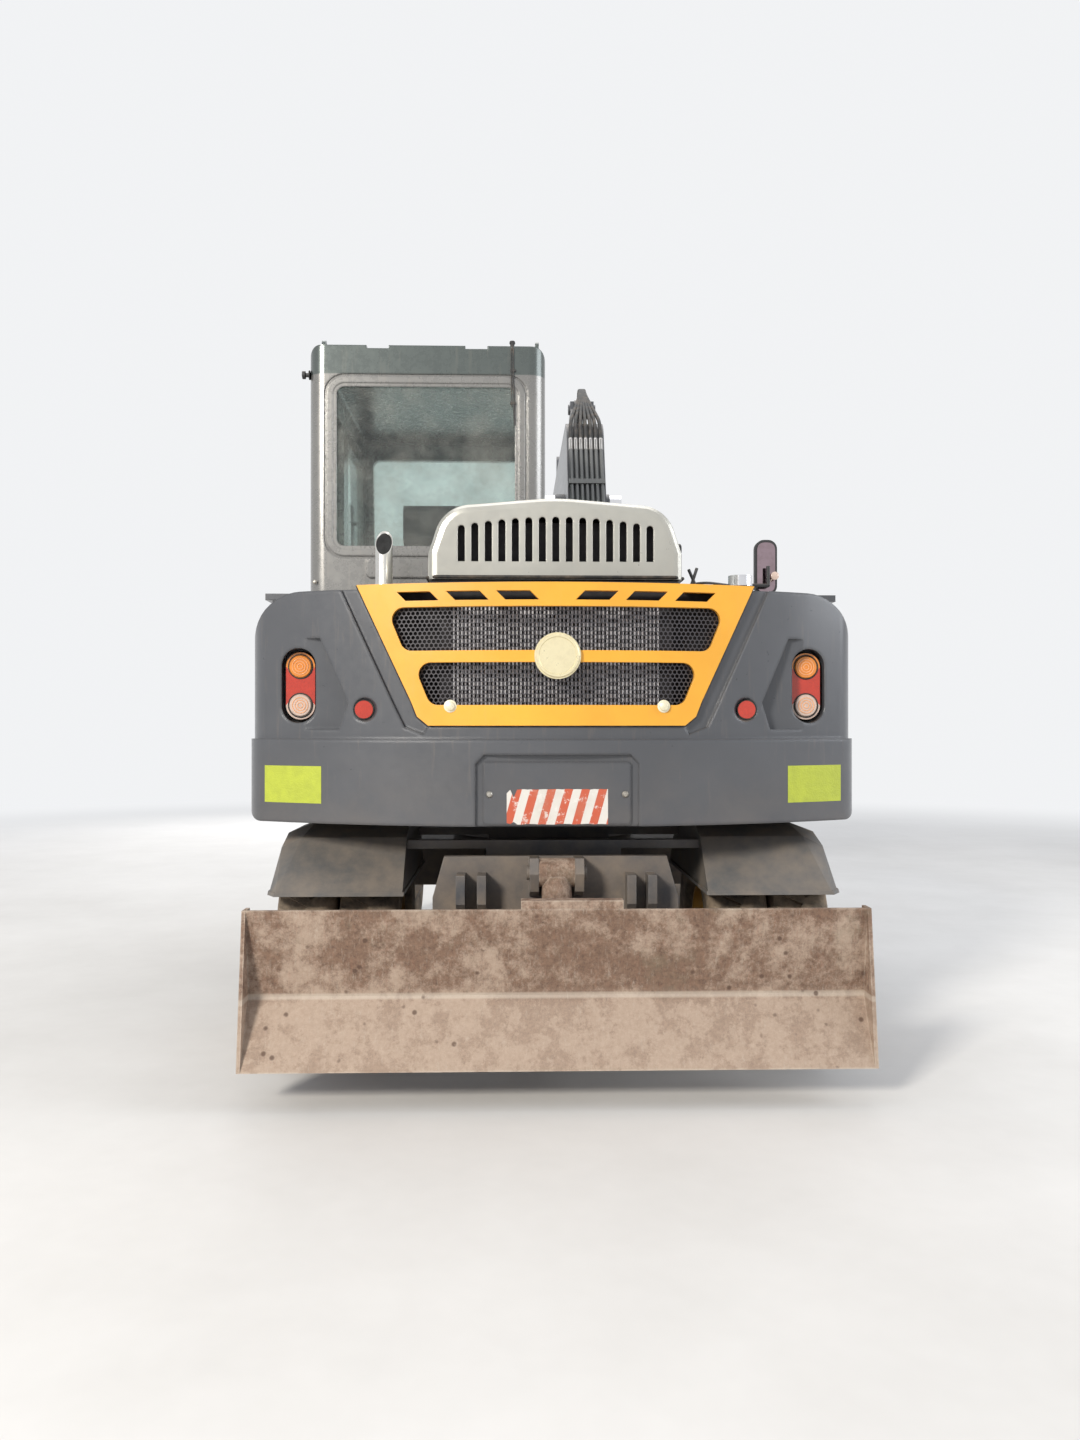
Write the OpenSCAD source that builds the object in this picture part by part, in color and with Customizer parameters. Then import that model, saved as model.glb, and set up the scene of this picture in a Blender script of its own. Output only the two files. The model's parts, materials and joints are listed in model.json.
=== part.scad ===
// Wheeled excavator of the six-tonne class, with a rear dozer blade.
// Millimetres. +Y is forward, +X is the machine's right side, +Z is up, the ground is at z = 0.
// The pieces are drawn about the slew axis. place() then centres the whole length on the origin.

/* [Undercarriage] */
// Distance between the front and rear axles
wheelbase = 2350; // [2300:10:2450]
// Distance of the rear axle behind the slew axis
rear_axle_back = 1150; // [1130:5:1180]
// Outer radius of the tyres
tyre_r = 400; // [385:1:405]
// Width of one tyre
tyre_w = 205; // [190:1:208]
// Gap between the twin tyres
twin_gap = 10; // [5:1:20]
// Half of the width over the rear tyres
rear_half_w = 966; // [955:1:975]
// Distance of the front tyre's middle from the machine's middle
front_track_x = 800; // [790:1:830]
// Distance of the kingpins from the machine's middle
kingpin_x = 600; // [585:1:610]
// How far the tyre is pressed flat on the ground
tyre_flat = 5; // [2:1:10]
// Width of the chassis beam
frame_w = 500; // [460:10:520]
// Bottom of the chassis beam above the ground
frame_z0 = 490; // [480:1:500]
// Height of the chassis beam
frame_h = 230; // [220:1:240]
// Reach of the chassis behind the slew axis
frame_back = 1580; // [1560:5:1590]
// Reach of the chassis ahead of the front axle
frame_nose = 340; // [300:5:360]

/* [Blade] */
// Width of the dozer blade
blade_w = 2000; // [1900:10:2060]
// Height of the blade's cutting edge above the ground, blade raised
blade_z0 = 120; // [100:5:140]
// Height of the blade plate
blade_h = 490; // [450:5:510]
// Thickness of the blade plate
blade_t = 14; // [10:1:18]

/* [Upper structure] */
// Height of the deck's underside above the ground
deck_z0 = 860; // [855:1:870]
// Height of the deck
deck_h = 50; // [40:1:60]
// Radius of the tail about the slew axis
tail_r = 1750; // [1700:5:1800]
// Width of the upper structure
upper_w = 2140; // [2110:5:2170]
// Radius of the tail's flat curve seen from above
tail_curve = 2200; // [2100:10:2400]
// Radius of the tail's two corners seen from above
tail_corner = 120; // [100:5:150]
// Height of the counterweight
cw_h = 788; // [760:1:800]
// Width of the pewter engine hood
hood_w = 868; // [820:4:900]
// Height of the engine hood above its seat
hood_h = 280; // [260:1:300]

/* [Cab] */
// Width of the cab
cab_w = 1010; // [980:1:1030]
// Length of the cab
cab_l = 1650; // [1600:5:1680]
// Height of the cab's roof above the ground
cab_top = 2810; // [2780:5:2850]
// Thickness of the cab's walls and door
cab_wall = 45; // [40:1:55]

/* [Working arm] */
// Distance of the boom's middle from the machine's middle
boom_x = 265; // [262:1:280]
// Width of the boom box
boom_w = 210; // [200:2:220]
// Length of the boom's lower run, foot to bend
boom_low_l = 1692; // [1650:2:1720]
// Slope of the boom's lower run
boom_low_a = 65.5; // [63:0.5:67]
// Length of the boom's upper run, bend to tip
boom_up_l = 1951; // [1900:5:2000]
// Slope of the boom's upper run
boom_up_a = 2; // [0:0.5:4]
// Length of the arm between its pins
arm_l = 1610; // [1550:5:1620]
// Direction of the hanging arm, from level ahead
arm_a = 268.2; // [266:0.2:270]
// Width of the arm
arm_w = 150; // [140:2:154]
// Width of the bucket
bucket_w = 510; // [480:2:514]
// Reach of the bucket's teeth from its pin
bucket_r = 1000; // [950:5:1020]

/* [Hidden] */
$fn = 48;

// Colours of the finishes
c_dark = [0.33, 0.34, 0.36];
c_pewter = [0.42, 0.41, 0.40];
c_yellow = [0.95, 0.70, 0.22];
c_black = [0.10, 0.10, 0.10];
c_steel = [0.62, 0.62, 0.62];
c_chrome = [0.80, 0.80, 0.82];
c_rust = [0.55, 0.45, 0.36];
c_tyre = [0.17, 0.16, 0.15];
c_glass = [0.45, 0.55, 0.55, 0.5];

// Clearances: running gap of pins and rods, seat of still pieces, air between moving pieces
pin_gap = 0.3;
seat = 0.3;
air = 8;

// Undercarriage
axle_z = tyre_r - tyre_flat;
rear_y = -rear_axle_back;
front_y = rear_y + wheelbase;
frame_front = front_y + frame_nose;
frame_z1 = frame_z0 + frame_h;
axle_tube_r = 75;
diff_r = 150;
front_diff_x = 150;
pinion_l = 220;
pivot_r = 32;
pivot_half = 94;
rim_r = 203;
twin_x = [rear_half_w - 1.5 * tyre_w - twin_gap, rear_half_w - tyre_w / 2];
hub_r = 95;
lug_n = 20;
lug_h = 20;
lug_gap = 46;
lug_rib = 7;
lug_slant = 27;
knuckle_arm = 200;
tie_rod_y = front_y - knuckle_arm;
tie_rod_x = kingpin_x;
tie_rod_z = axle_z - 60;
steer_arm = 190;
steer_z = axle_z + 35;
ring_z1 = deck_z0 - 8;

// Blade linkage, as [y, z] points of the side view
blade_pin = [-1400, 430];
blade_y = -1800;
blade_base = [-1664, 704];
blade_eye = [-1752, 300];
blade_arm_x = 285;
blade_arm_t = 34;
blade_ear_t = 30;
blade_bend = blade_z0 + 210;
blade_top = blade_z0 + blade_h;

// Places of the chassis fittings
guard_x0 = 520;
guard_x1 = rear_half_w + 12;
guard_z = axle_z + tyre_r + 14;
guard_y = [rear_y - 240, rear_y + 240];
guard_lip_z = 620;
guard_arm_z = [755, 785];
rear_hub_x = twin_x[0] + 60;
gearbox_y = [-420, 60];
step_y = [-560, 520];
step_x = [620, 880];
step_z = 330;
box_z = [frame_z0 + 10, frame_z0 + 180];
tow_hole_r = 25;

// Upper structure
// The tail's back at a distance x from the middle, a depth inside its skin
function tail_y(x, depth) = tail_curve - tail_r - sqrt(pow(tail_curve - depth, 2) - pow(x, 2));
skirt_in = 17;
cab_back_y = 1000 - cab_l;
deck_z1 = deck_z0 + deck_h;
cw_z0 = deck_z0 + 3;
cw_z1 = cw_z0 + cw_h;
cw_front = -tail_r + 570;
body_half = upper_w / 2 - 20;
cover_z1 = cw_z1 + 24;
hood_z0 = cover_z1 + 15;
hood_round = 30;
hood_corner = 125;
hood_crown = 900;
hood_back = -tail_r + 150;
hood_front = cab_back_y - 50;
hood_hinge_x = [-130, 130];
hood_pin = [hood_front + 15, hood_z0 + hood_h + 12];
crease_z = cw_z0 + 284;
plate_z = [cw_z0 + 4, cw_z0 + 212];
plate_w = 488;
plate_hole_x = 223;
plate_hole_z = cw_z0 + 105;

foot_plate_t = 22;
foot_plate_x = [boom_x - boom_w / 2 - 40, boom_x + boom_w / 2 + 40 - foot_plate_t];
grille_top = cover_z1 - 12;
grille_half = [425, 462, 482, 669];
grille_z = [cw_z0 + 330, cw_z0 + 360, cw_z0 + 410, grille_top];
vent_z = grille_top - 58;
badge_z = cw_z0 + 558;
badge_r = 76;
upper_open = [cw_z0 + 577, cw_z0 + 721, 506, 566];
lower_open = [cw_z0 + 398, cw_z0 + 538, 418, 476];
open_r = 40;
hex_pitch = 42;
hex_r = 20;
tank_z1 = 1640;
tank_nose = [[640, deck_z1 + 210], [400, deck_z1 + 490], [400, tank_z1 - 80], [330, tank_z1]];
lamp_x = 880;
lamp_z = cw_z0 + 467;
reflector_x = 645;
reflector_z = cw_z0 + 384;
reflector_y = tail_y(reflector_x, skirt_in) + 16;
lamp_w = 100;
lamp_h = 232;
lamp_t = 45;
lamp_y = tail_y(lamp_x + 62, skirt_in) + lamp_t + 14;
core_z0 = cw_z0 + 200;
engine_y = [-tail_r + 270, -tail_r + 850];
engine_z = [1010, 1560];
lift_hole_x = 700;
louvre_n = 7;
filler = [750, cw_front + 150];
pipe = [-640, cw_front + 80];
lift_hole_y = -tail_r + 320;
cover_y1 = cab_back_y - air;
cover_pin_y = cover_y1 - 30;
roof_groove_x = [-720, -300];
roof_r = 48;

// Cab box, [low, high] along each axis
cab_x = [-5 - cab_w, -5];
cab_y = [cab_back_y, 1000];
cab_z = [deck_z1 + 6, cab_top];
door_y = [150, 900];
window_top = cab_top - 160;
rear_sill = cab_top - 870;
left_sill = cab_top - 1050;
right_sill = cab_top - 1250;
side_win_y = [cab_back_y + 110, 860];
left_win_y = [cab_back_y + 110, 50];
front_win_z = [[cab_top - 950, cab_top - 130], [1180, cab_top - 1010]];
seal_w = 16;
rail_z = [1450, 2080];
left_mirror = [-1122, 1040, 2330];
right_mirror = [1115, 100, 1975];
mirror_post = [960, 40];
door_z = [cab_z[0] + 40, cab_top - 130];
door_hinge_y = door_y[0] - 6;
door_hinge_z = [cab_z[0] + 260, cab_top - 420];

// Working arm, as [y, z] points of the side view
function polar(r, a) = [r * cos(a), r * sin(a)];
function along(p, q, s, t) = p + s * (q - p) + t * [p[1] - q[1], q[0] - p[0]] / norm(q - p);
function arc(c, r, a0, a1, n) = [for (i = [0:n]) c + polar(r, a0 + (a1 - a0) * i / n)];
foot = [280, 1220];
bend = foot + polar(boom_low_l, boom_low_a);
tip = bend + polar(boom_up_l, boom_up_a);
lift_base = [640, 1000];
lift_eye = bend + [140, -270];
crowd_base = bend + [170, 300];
crowd_eye = tip + polar(340, 90);
wrist = tip + polar(arm_l, arm_a);
curl_base = tip + [190, -230];
rocker_pin = wrist + [20, 310];
link_pin = rocker_pin + polar(290, -2);
bucket_eye = wrist + [270, 0];
pin_r = 30;
fork_r = 350;
link_waist = [-285, 266];
lift_x = 195;
lift_eye_w = 68;
tank_x0 = boom_x + lift_x + 70;
lift_tube_r = 48;
lift_rod_r = 28;
crowd_tube_r = 46;
curl_tube_r = 40;
curl_rod_r = 24;
arm_end_w = 200;
ear_t = 25;
ear_in = arm_end_w / 2 + 3;
rocker_in = arm_w / 2 + 3;
rocker_t = 20;
link_out = rocker_in - 3;

// Middle of the length: from the blade's edge to the front of the bucket
reach_back = blade_y - 110;
reach_front = wrist[0] + 430;
frame_y = -(reach_back + reach_front) / 2;

// Moves a piece from the slew axis to the middle of the machine's length
module place() {
    translate([0, frame_y, 0]) children();
}

// Draws a piece and its mirror image on the other side
module both_sides() {
    children();
    mirror([1, 0, 0]) children();
}

// Box between two corners
module block(a, b) {
    translate(a) cube(b - a);
}

// Rectangle with round corners, centred
module round_rect(w, h, r) {
    square([w - 2 * r, h], center = true);
    square([w, h - 2 * r], center = true);
    for (sx = [-1, 1], sy = [-1, 1]) translate([sx * (w / 2 - r), sy * (h / 2 - r)]) circle(r);
}

// Plate standing across X, its outline drawn as [y, z], from x0 to x1
module side_plate(x0, x1) {
    translate([x0, 0, 0]) rotate([90, 0, 90]) linear_extrude(x1 - x0) children();
}

// Plate facing Y, its outline drawn as [x, z], from y0 to y1
module face_plate(y0, y1) {
    translate([0, y1, 0]) rotate([90, 0, 0]) linear_extrude(y1 - y0) children();
}

// Lying plate, from z0 to z1
module flat_plate(z0, z1) {
    translate([0, 0, z0]) linear_extrude(z1 - z0) children();
}

// Round bar along X at a [y, z] point, from x0 to x1
module x_bar(p, r, x0, x1) {
    translate([x0, p[0], p[1]]) rotate([0, 90, 0]) cylinder(r = r, h = x1 - x0);
}

// Turns local Z along the side view's line from p to q
module aim(p, q) {
    d = q - p;
    translate([0, p[0], p[1]]) rotate([-atan2(d[0], d[1]), 0, 0]) children();
}

// Outline of a link with round ends
module link_shape(p, q, rp, rq) {
    hull() {
        translate(p) circle(rp);
        translate(q) circle(rq);
    }
}

// Cylinder tube: base eye at the origin, along Z, open at its gland
module hydraulic_tube(length, r, rod_r, eye_r, eye_w) {
    difference() {
        union() {
            translate([0, 0, eye_r * 0.8]) cylinder(r = r, h = length - eye_r * 0.8);
            translate([0, 0, length - 70]) cylinder(r = r + 7, h = 70);
            rotate([0, 90, 0]) cylinder(r = eye_r, h = eye_w, center = true);
        }
        translate([0, 0, eye_r + 12]) cylinder(r = rod_r + pin_gap, h = length);
        rotate([0, 90, 0]) cylinder(r = pin_r + pin_gap, h = eye_w + 2, center = true);
    }
}

// Piston rod along Z from start to its eye at the given length
module hydraulic_rod(start, length, r, eye_r, eye_w) {
    translate([0, 0, start]) cylinder(r = r, h = length - start - eye_r * 0.7);
    translate([0, 0, length]) rotate([0, 90, 0]) cylinder(r = eye_r, h = eye_w, center = true);
}

// Grooves between the traction lugs: slanted, in two rows that are out of step
module lug_grooves() {
    for (s = [-1, 1], i = [0:lug_n - 1]) rotate([0, 0, (i + s / 4) * 360 / lug_n])
        translate([tyre_r - lug_h, 0, 0]) rotate([s * lug_slant, 0, 0])
            translate([0, -lug_gap / 2, s > 0 ? lug_rib : -lug_rib - tyre_w]) cube([2 * lug_h, lug_gap, tyre_w]);
}

// Tyre around the X axis, its middle at the origin
module tyre() {
    color(c_tyre)
        rotate([0, 90, 0]) difference() {
            rotate_extrude($fn = 96)
                difference() {
                    translate([(tyre_r + rim_r) / 2, 0]) round_rect(tyre_r - rim_r, tyre_w, 48);
                    translate([rim_r - 1, -tyre_w]) square([1, 2 * tyre_w]);
                }
            lug_grooves();
        }
}

// Steel rim around the X axis: the disc lies at x = dish, the hub reaches to x = nose
module rim(dish, nose) {
    w = tyre_w - 50;
    out = sign(dish);
    color(c_yellow)
        rotate([0, 90, 0])
            difference() {
                rotate_extrude($fn = 96) {
                    translate([rim_r - 12, -w / 2]) square([12 - seat, w]);
                    polygon([[rim_r - 11, dish - out * 45], [rim_r - 11, dish - out * 28], [145, dish + out * 6],
                        [20, dish + out * 6], [20, dish - out * 6], [138, dish - out * 6]]);
                    polygon([[0, dish - 6], [hub_r, dish - 6], [hub_r, dish + 8], [hub_r - 20, dish + 12],
                        [hub_r - 32, nose], [0, nose]]);
                }
                for (i = [0:7]) rotate([0, 0, 45 * i]) translate([162, 0, dish - 60]) cylinder(r = 15, h = 120);
            }
}

// Chassis

module blade_ear() {
    back = -frame_back;
    polygon([[back - 100, 695], [back + 60, 695], blade_pin + [70, 40], blade_pin + [60, -50],
        blade_pin + [-60, -60], [back - 20, 520], [back - 100, 600]]);
}

module tow_ear() {
    difference() {
        polygon([[frame_front - 30, frame_z0 + 20], [frame_front + 90, frame_z0 + 70],
            [frame_front + 90, frame_z0 + 160], [frame_front - 30, frame_z1 - 20]]);
        translate([frame_front + 45, frame_z0 + 115]) circle(tow_hole_r);
    }
}

module chassis_frame() {
    color(c_dark) {
        difference() {
            union() {
                block([-frame_w / 2, -frame_back + 10, frame_z0], [frame_w / 2, frame_front, frame_z1]);
                flat_plate(frame_z1 - 40, ring_z1 - 62) circle(430);
                both_sides() {
                    block([160, rear_y - 90, axle_z], [240, rear_y + 90, frame_z0 + 90]);
                }
                for (s = [-1, 1])
                    block([-90, front_y + s * 120 - 25, axle_z - 60], [90, front_y + s * 120 + 25, frame_z0 + 60]);
            }
            x_bar([rear_y, axle_z], diff_r + 12, -155, 155);
            x_bar([rear_y, axle_z], axle_tube_r + seat, -300, 300);
            block([-frame_w, front_y - pivot_half, 0], [frame_w, front_y + pivot_half, frame_z0 + 60]);
            x_bar([front_y, axle_z], diff_r - 20, 0, front_diff_x + diff_r);
            translate([0, front_y - 160, axle_z]) rotate([-90, 0, 0]) cylinder(r = pivot_r + seat, h = 320);
        }
        face_plate(-frame_back - 12, -frame_back + 20)
            polygon([[-379, 749], [379, 749], [418, 610], [418, 540], [240, 500], [-240, 500], [-418, 540],
                [-418, 610]]);
        for (s = [-1, 1], e = [-1, 1]) {
            x = s * blade_arm_x + e * (blade_arm_t / 2 + 3 + blade_ear_t / 2);
            side_plate(x - blade_ear_t / 2, x + blade_ear_t / 2) blade_ear();
        }
        for (s = [-1, 1]) {
            reach = blade_arm_t / 2 + 3 + blade_ear_t + 12;
            x_bar(blade_pin, 25, s * blade_arm_x - reach, s * blade_arm_x + reach);
        }
        for (s = [-1, 1]) side_plate(s * 75 - 15, s * 75 + 15)
            polygon([[-frame_back, 610], [-frame_back, 749], blade_base + [-30, 50], blade_base + [-50, 0],
                blade_base + [-30, -60]]);
        x_bar(blade_base, 25, -100, 100);
        for (s = [-1, 1]) side_plate(s * 200 - 15, s * 200 + 15) tow_ear();
        for (y = guard_y) {
            block([seat - guard_x0, y - 25, guard_arm_z[0]], [guard_x0 - seat, y + 25, guard_arm_z[1]]);
            block([-240, y - 25, frame_z1 - 1], [240, y + 25, guard_arm_z[1]]);
        }
    }
}

// Differential housing around the X axis, turned from a few cones
module diff_housing(r) {
    rotate([0, 90, 0]) rotate_extrude($fn = 96)
        polygon([[0, -r * 1.1], [r * 0.45, -r * 1.1], [r * 0.68, -r * 0.85], [r * 0.92, -r * 0.5], [r, -r * 0.2],
            [r, r * 0.2], [r * 0.92, r * 0.5], [r * 0.68, r * 0.85], [r * 0.45, r * 1.1], [0, r * 1.1]]);
}

module rear_axle() {
    color(c_dark) {
        x_bar([rear_y, axle_z], axle_tube_r, -rear_hub_x, rear_hub_x);
        translate([0, rear_y, axle_z]) diff_housing(diff_r - 5);
        translate([0, rear_y, axle_z]) rotate([-90, 0, 0]) cylinder(r = 60, h = pinion_l);
        both_sides() x_bar([rear_y, axle_z], 120, rear_hub_x - 90, rear_hub_x);
    }
}

module front_axle() {
    color(c_dark) difference() {
        union() {
            x_bar([front_y, axle_z], axle_tube_r - 10, -kingpin_x + 95, kingpin_x - 95);
            translate([front_diff_x, front_y, axle_z]) diff_housing(diff_r - 25);
            translate([front_diff_x, front_y - pinion_l, axle_z]) rotate([-90, 0, 0]) cylinder(r = 42, h = pinion_l);
            translate([0, front_y - pivot_half + seat, axle_z]) rotate([-90, 0, 0])
                cylinder(r = 62, h = 2 * pivot_half - 2 * seat);
            both_sides() {
                for (z = [60, -85])
                    block([kingpin_x - 110, front_y - 45, axle_z + z], [kingpin_x + 45, front_y + 45, axle_z + z + 25]);
                block([kingpin_x - 110, front_y - 45, axle_z - 85], [kingpin_x - 90, front_y + 45, axle_z + 85]);
            }
        }
        translate([0, front_y - 160, axle_z]) rotate([-90, 0, 0]) cylinder(r = pivot_r + seat, h = 320);
        both_sides() translate([kingpin_x, front_y, axle_z - 100]) cylinder(r = 20 + pin_gap, h = 200);
    }
    color(c_steel) translate([0, front_y - 150, axle_z]) rotate([-90, 0, 0]) cylinder(r = pivot_r, h = 300);
    color(c_dark) difference() {
        union() {
            x_bar([front_y + steer_arm, steer_z], 32, -140, 340);
            block([-150, front_y + 40, steer_z - 32], [-100, front_y + steer_arm, steer_z + 32]);
            block([-150, front_y + 20, axle_z - 30], [-100, front_y + 100, steer_z + 32]);
        }
        x_bar([front_y + steer_arm, steer_z], 16 + pin_gap, -90, 400);
    }
}

module steer_rod() {
    color(c_chrome) {
        x_bar([front_y + steer_arm, steer_z], 16, 90, kingpin_x - 18);
        translate([kingpin_x, front_y + steer_arm, steer_z - 16]) cylinder(r = 28, h = 34);
    }
}

// Steering knuckle of the right side: fork block, kingpin, spindle, brake drum and arms
module knuckle(front_arm) {
    color(c_dark) {
        translate([kingpin_x, front_y, axle_z - 60 + seat]) cylinder(r = 48, h = 120 - 2 * seat);
        translate([kingpin_x, front_y, axle_z - 92]) cylinder(r = 20, h = 184);
        x_bar([front_y, axle_z], 45, kingpin_x, front_track_x + 14 - seat);
        x_bar([front_y, axle_z], 125, kingpin_x + 105, front_track_x - 5);
        flat_plate(axle_z - 40, axle_z - 15)
            link_shape([kingpin_x, front_y], [tie_rod_x, tie_rod_y], 40, 24);
        translate([tie_rod_x, tie_rod_y, tie_rod_z - 22]) cylinder(r = 10, h = 45);
        if (front_arm) flat_plate(axle_z - 5, steer_z - 16 - seat)
            link_shape([kingpin_x, front_y], [kingpin_x, front_y + steer_arm], 40, 26);
    }
}

module knuckle_right() {
    knuckle(true);
}

module knuckle_left() {
    mirror([1, 0, 0]) knuckle(false);
}

module tie_rod() {
    color(c_steel) difference() {
        union() {
            x_bar([tie_rod_y, tie_rod_z], 15, -tie_rod_x + 20, tie_rod_x - 20);
            both_sides() translate([tie_rod_x, tie_rod_y, tie_rod_z - 18]) cylinder(r = 24, h = 38 - seat);
        }
        translate([-tie_rod_x, tie_rod_y, 0]) cylinder(r = 10 + pin_gap, h = axle_z);
        translate([tie_rod_x, tie_rod_y, 0]) cylinder(r = 11.5, h = axle_z);
    }
}

module driveline() {
    color(c_dark) {
        block([-60, gearbox_y[0], 300], [190, gearbox_y[1], frame_z0 - seat]);
        x_bar([rear_y + 430, 400], 90, -150, -60);
    }
    color(c_steel) {
        translate([0, rear_y + pinion_l + seat, axle_z]) rotate([-90, 0, 0])
            cylinder(r = 28, h = gearbox_y[0] - rear_y - pinion_l - 2 * seat);
        translate([front_diff_x, gearbox_y[1] + seat, axle_z]) rotate([-90, 0, 0])
            cylinder(r = 28, h = front_y - pinion_l - gearbox_y[1] - 2 * seat);
    }
}

// Rear mudguard: an arched shell, smaller by t, as rows [half length, height, rounding of its outer edge]
guard_rows = [[150, guard_z + 30, 115], [150, guard_z - 8, 16], [150, guard_z - 50, 0],
    [290, guard_z - 12, 90], [290, guard_z - 45, 20]];

module guard_form(t, low) {
    hull() {
        for (row = guard_rows, e = [-1, 1], x = [guard_x0 + t, guard_x1 - row[2] - t - 1])
            translate([x, rear_y + e * (row[0] - t), row[1] - t]) cube(1);
        for (e = [-1, 1], x = [guard_x0 + t, guard_x1 - 33 - t])
            translate([x, rear_y + e * (450 - t), low]) cube(1);
        for (e = [-1, 1]) translate([guard_x1 - t - 1, rear_y + e * (400 - t), low]) cube(1);
    }
}

module mudguards() {
    color(c_dark) both_sides() difference() {
        union() {
            guard_form(0, guard_lip_z);
            intersection() {
                guard_form(-5, guard_lip_z - 4);
                flat_plate(guard_lip_z - 5, guard_lip_z + 8)
                    translate([guard_x0 - 10, rear_y - 500]) square([guard_x1 - guard_x0 + 30, 1000]);
            }
        }
        guard_form(6, guard_lip_z - 20);
    }
}

module side_steps() {
    color(c_dark) both_sides() {
        block([frame_w / 2 + seat, step_y[0], box_z[0]], [step_x[0], step_y[1], box_z[1]]);
        block([step_x[0] - 20, step_y[0] + 20, box_z[1] - 20], [step_x[1] + 20, step_y[1] - 20, box_z[1] - 8]);
        block([step_x[0], step_y[0] + 20, step_z], [step_x[1], step_y[1] - 20, step_z + 12]);
        for (x = [step_x[0], step_x[1] - 18], y = [step_y[0] + 20, step_y[1] - 35])
            block([x, y, step_z], [x + 18, y + 15, box_z[1] - 10]);
    }
}

module slew_race() {
    color(c_steel) difference() {
        translate([0, 0, ring_z1 - 62]) cylinder(r = 420, h = 62);
        translate([0, 0, ring_z1 - 63]) cylinder(r = 340 + pin_gap, h = 64);
    }
}

// Wheels
module wheel_front(side) {
    translate([side * front_track_x, front_y, axle_z]) children();
}

module wheels_rear(side) {
    for (x = twin_x) translate([side * x, rear_y, axle_z]) children();
}

module rim_front(side) {
    wheel_front(side) mirror([side < 0 ? 1 : 0, 0, 0]) rim(20, 75);
}

// Twin rims: the inner disc faces out, the outer disc faces in, and the hub fills between them
module rims_rear(side) {
    mid = (twin_x[0] + twin_x[1]) / 2;
    mirror([side < 0 ? 1 : 0, 0, 0]) translate([0, rear_y, axle_z]) {
        translate([twin_x[0], 0, 0]) rim(mid - twin_x[0] - 7, mid - twin_x[0] + 8);
        translate([twin_x[1], 0, 0]) rim(mid - twin_x[1] + 7, 40);
        color(c_yellow) rotate([0, 90, 0]) translate([0, 0, rear_hub_x + seat])
            cylinder(r = hub_r, h = mid - rear_hub_x + 10);
    }
}

// Dozer blade, drawn in its side view as [y, z]
module blade_profile() {
    polygon([[blade_y - 110, blade_z0], [blade_y, blade_bend], [blade_y - 40, blade_top],
        [blade_y - 40 + blade_t, blade_top], [blade_y + blade_t, blade_bend], [blade_y - 110 + 22, blade_z0]]);
}

module dozer_blade() {
    color(c_rust) {
        side_plate(-blade_w / 2, blade_w / 2) blade_profile();
        both_sides() side_plate(blade_w / 2 - 12, blade_w / 2)
            polygon([[blade_y - 110, blade_z0], [blade_y - 40, blade_top], [blade_y + 20, blade_top],
                [blade_y + 40, blade_bend], [blade_y - 60, blade_z0]]);
        side_plate(-blade_w / 2 + 12, blade_w / 2 - 12)
            polygon([[blade_y - 30, blade_top - 60], [blade_y + 30, blade_top - 60], [blade_y + 30, blade_top - 50],
                [blade_y - 30, blade_top - 50]]);
    }
    color(c_dark) {
        for (s = [-1, 1]) difference() {
            side_plate(s * blade_arm_x - blade_arm_t / 2, s * blade_arm_x + blade_arm_t / 2)
                union() {
                    link_shape(blade_pin, [blade_y + 60, 300], 48, 50);
                    polygon([[blade_y - 75, 180], [blade_y + 7, blade_bend], [blade_y - 10, 480],
                        [blade_y + 60, 350], [blade_y + 60, 250]]);
                }
            x_bar(blade_pin, 25 + pin_gap, s * blade_arm_x - blade_arm_t, s * blade_arm_x + blade_arm_t);
        }
        both_sides() side_plate(55, 75)
            polygon([[blade_y - 75, 180], [blade_y + 7, blade_bend], [blade_y - 10, 480], blade_eye + [0, 60],
                blade_eye + [50, 20], blade_eye + [50, -40], blade_eye + [0, -80]]);
        block([-120, blade_y - 38, blade_top], [206, blade_y + 10, blade_top + 28]);
    }
}

module blade_barrel() {
    color(c_dark) aim(blade_base, blade_eye) difference() {
        union() {
            translate([0, 0, 20]) cylinder(r = 50, h = 230);
            rotate([0, 90, 0]) cylinder(r = 48, h = 120 - 2 * seat, center = true);
        }
        translate([0, 0, 60]) cylinder(r = 25 + pin_gap, h = 300);
        rotate([0, 90, 0]) cylinder(r = 25 + pin_gap, h = 140, center = true);
    }
}

module blade_rod() {
    reach = norm(blade_eye - blade_base);
    color(c_chrome) aim(blade_base, blade_eye) hydraulic_rod(110, reach, 25, 40, 90);
}

// Upper structure
module deck_plan() {
    difference() {
        intersection() {
            circle(tail_r - 30, $fn = 96);
            translate([-body_half, -tail_r]) square([2 * body_half, tail_r + cab_y[1]]);
        }
        translate([boom_x - lift_x - 95, 700]) square([body_half * 2, 500]);
        translate([-upper_w, -2 * tail_r]) square([2 * upper_w, 2 * tail_r + cw_front]);
    }
}

module foot_plate() {
    polygon([[cw_front + 5, deck_z1 - 5], [690, deck_z1 - 5], lift_base + [60, -30], lift_base + [50, 50],
        foot + [120, 60], foot + [70, 120], foot + [-90, 110], [-120, 1100], [-200, 1000], [cw_front + 5, 1000]]);
}

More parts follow.
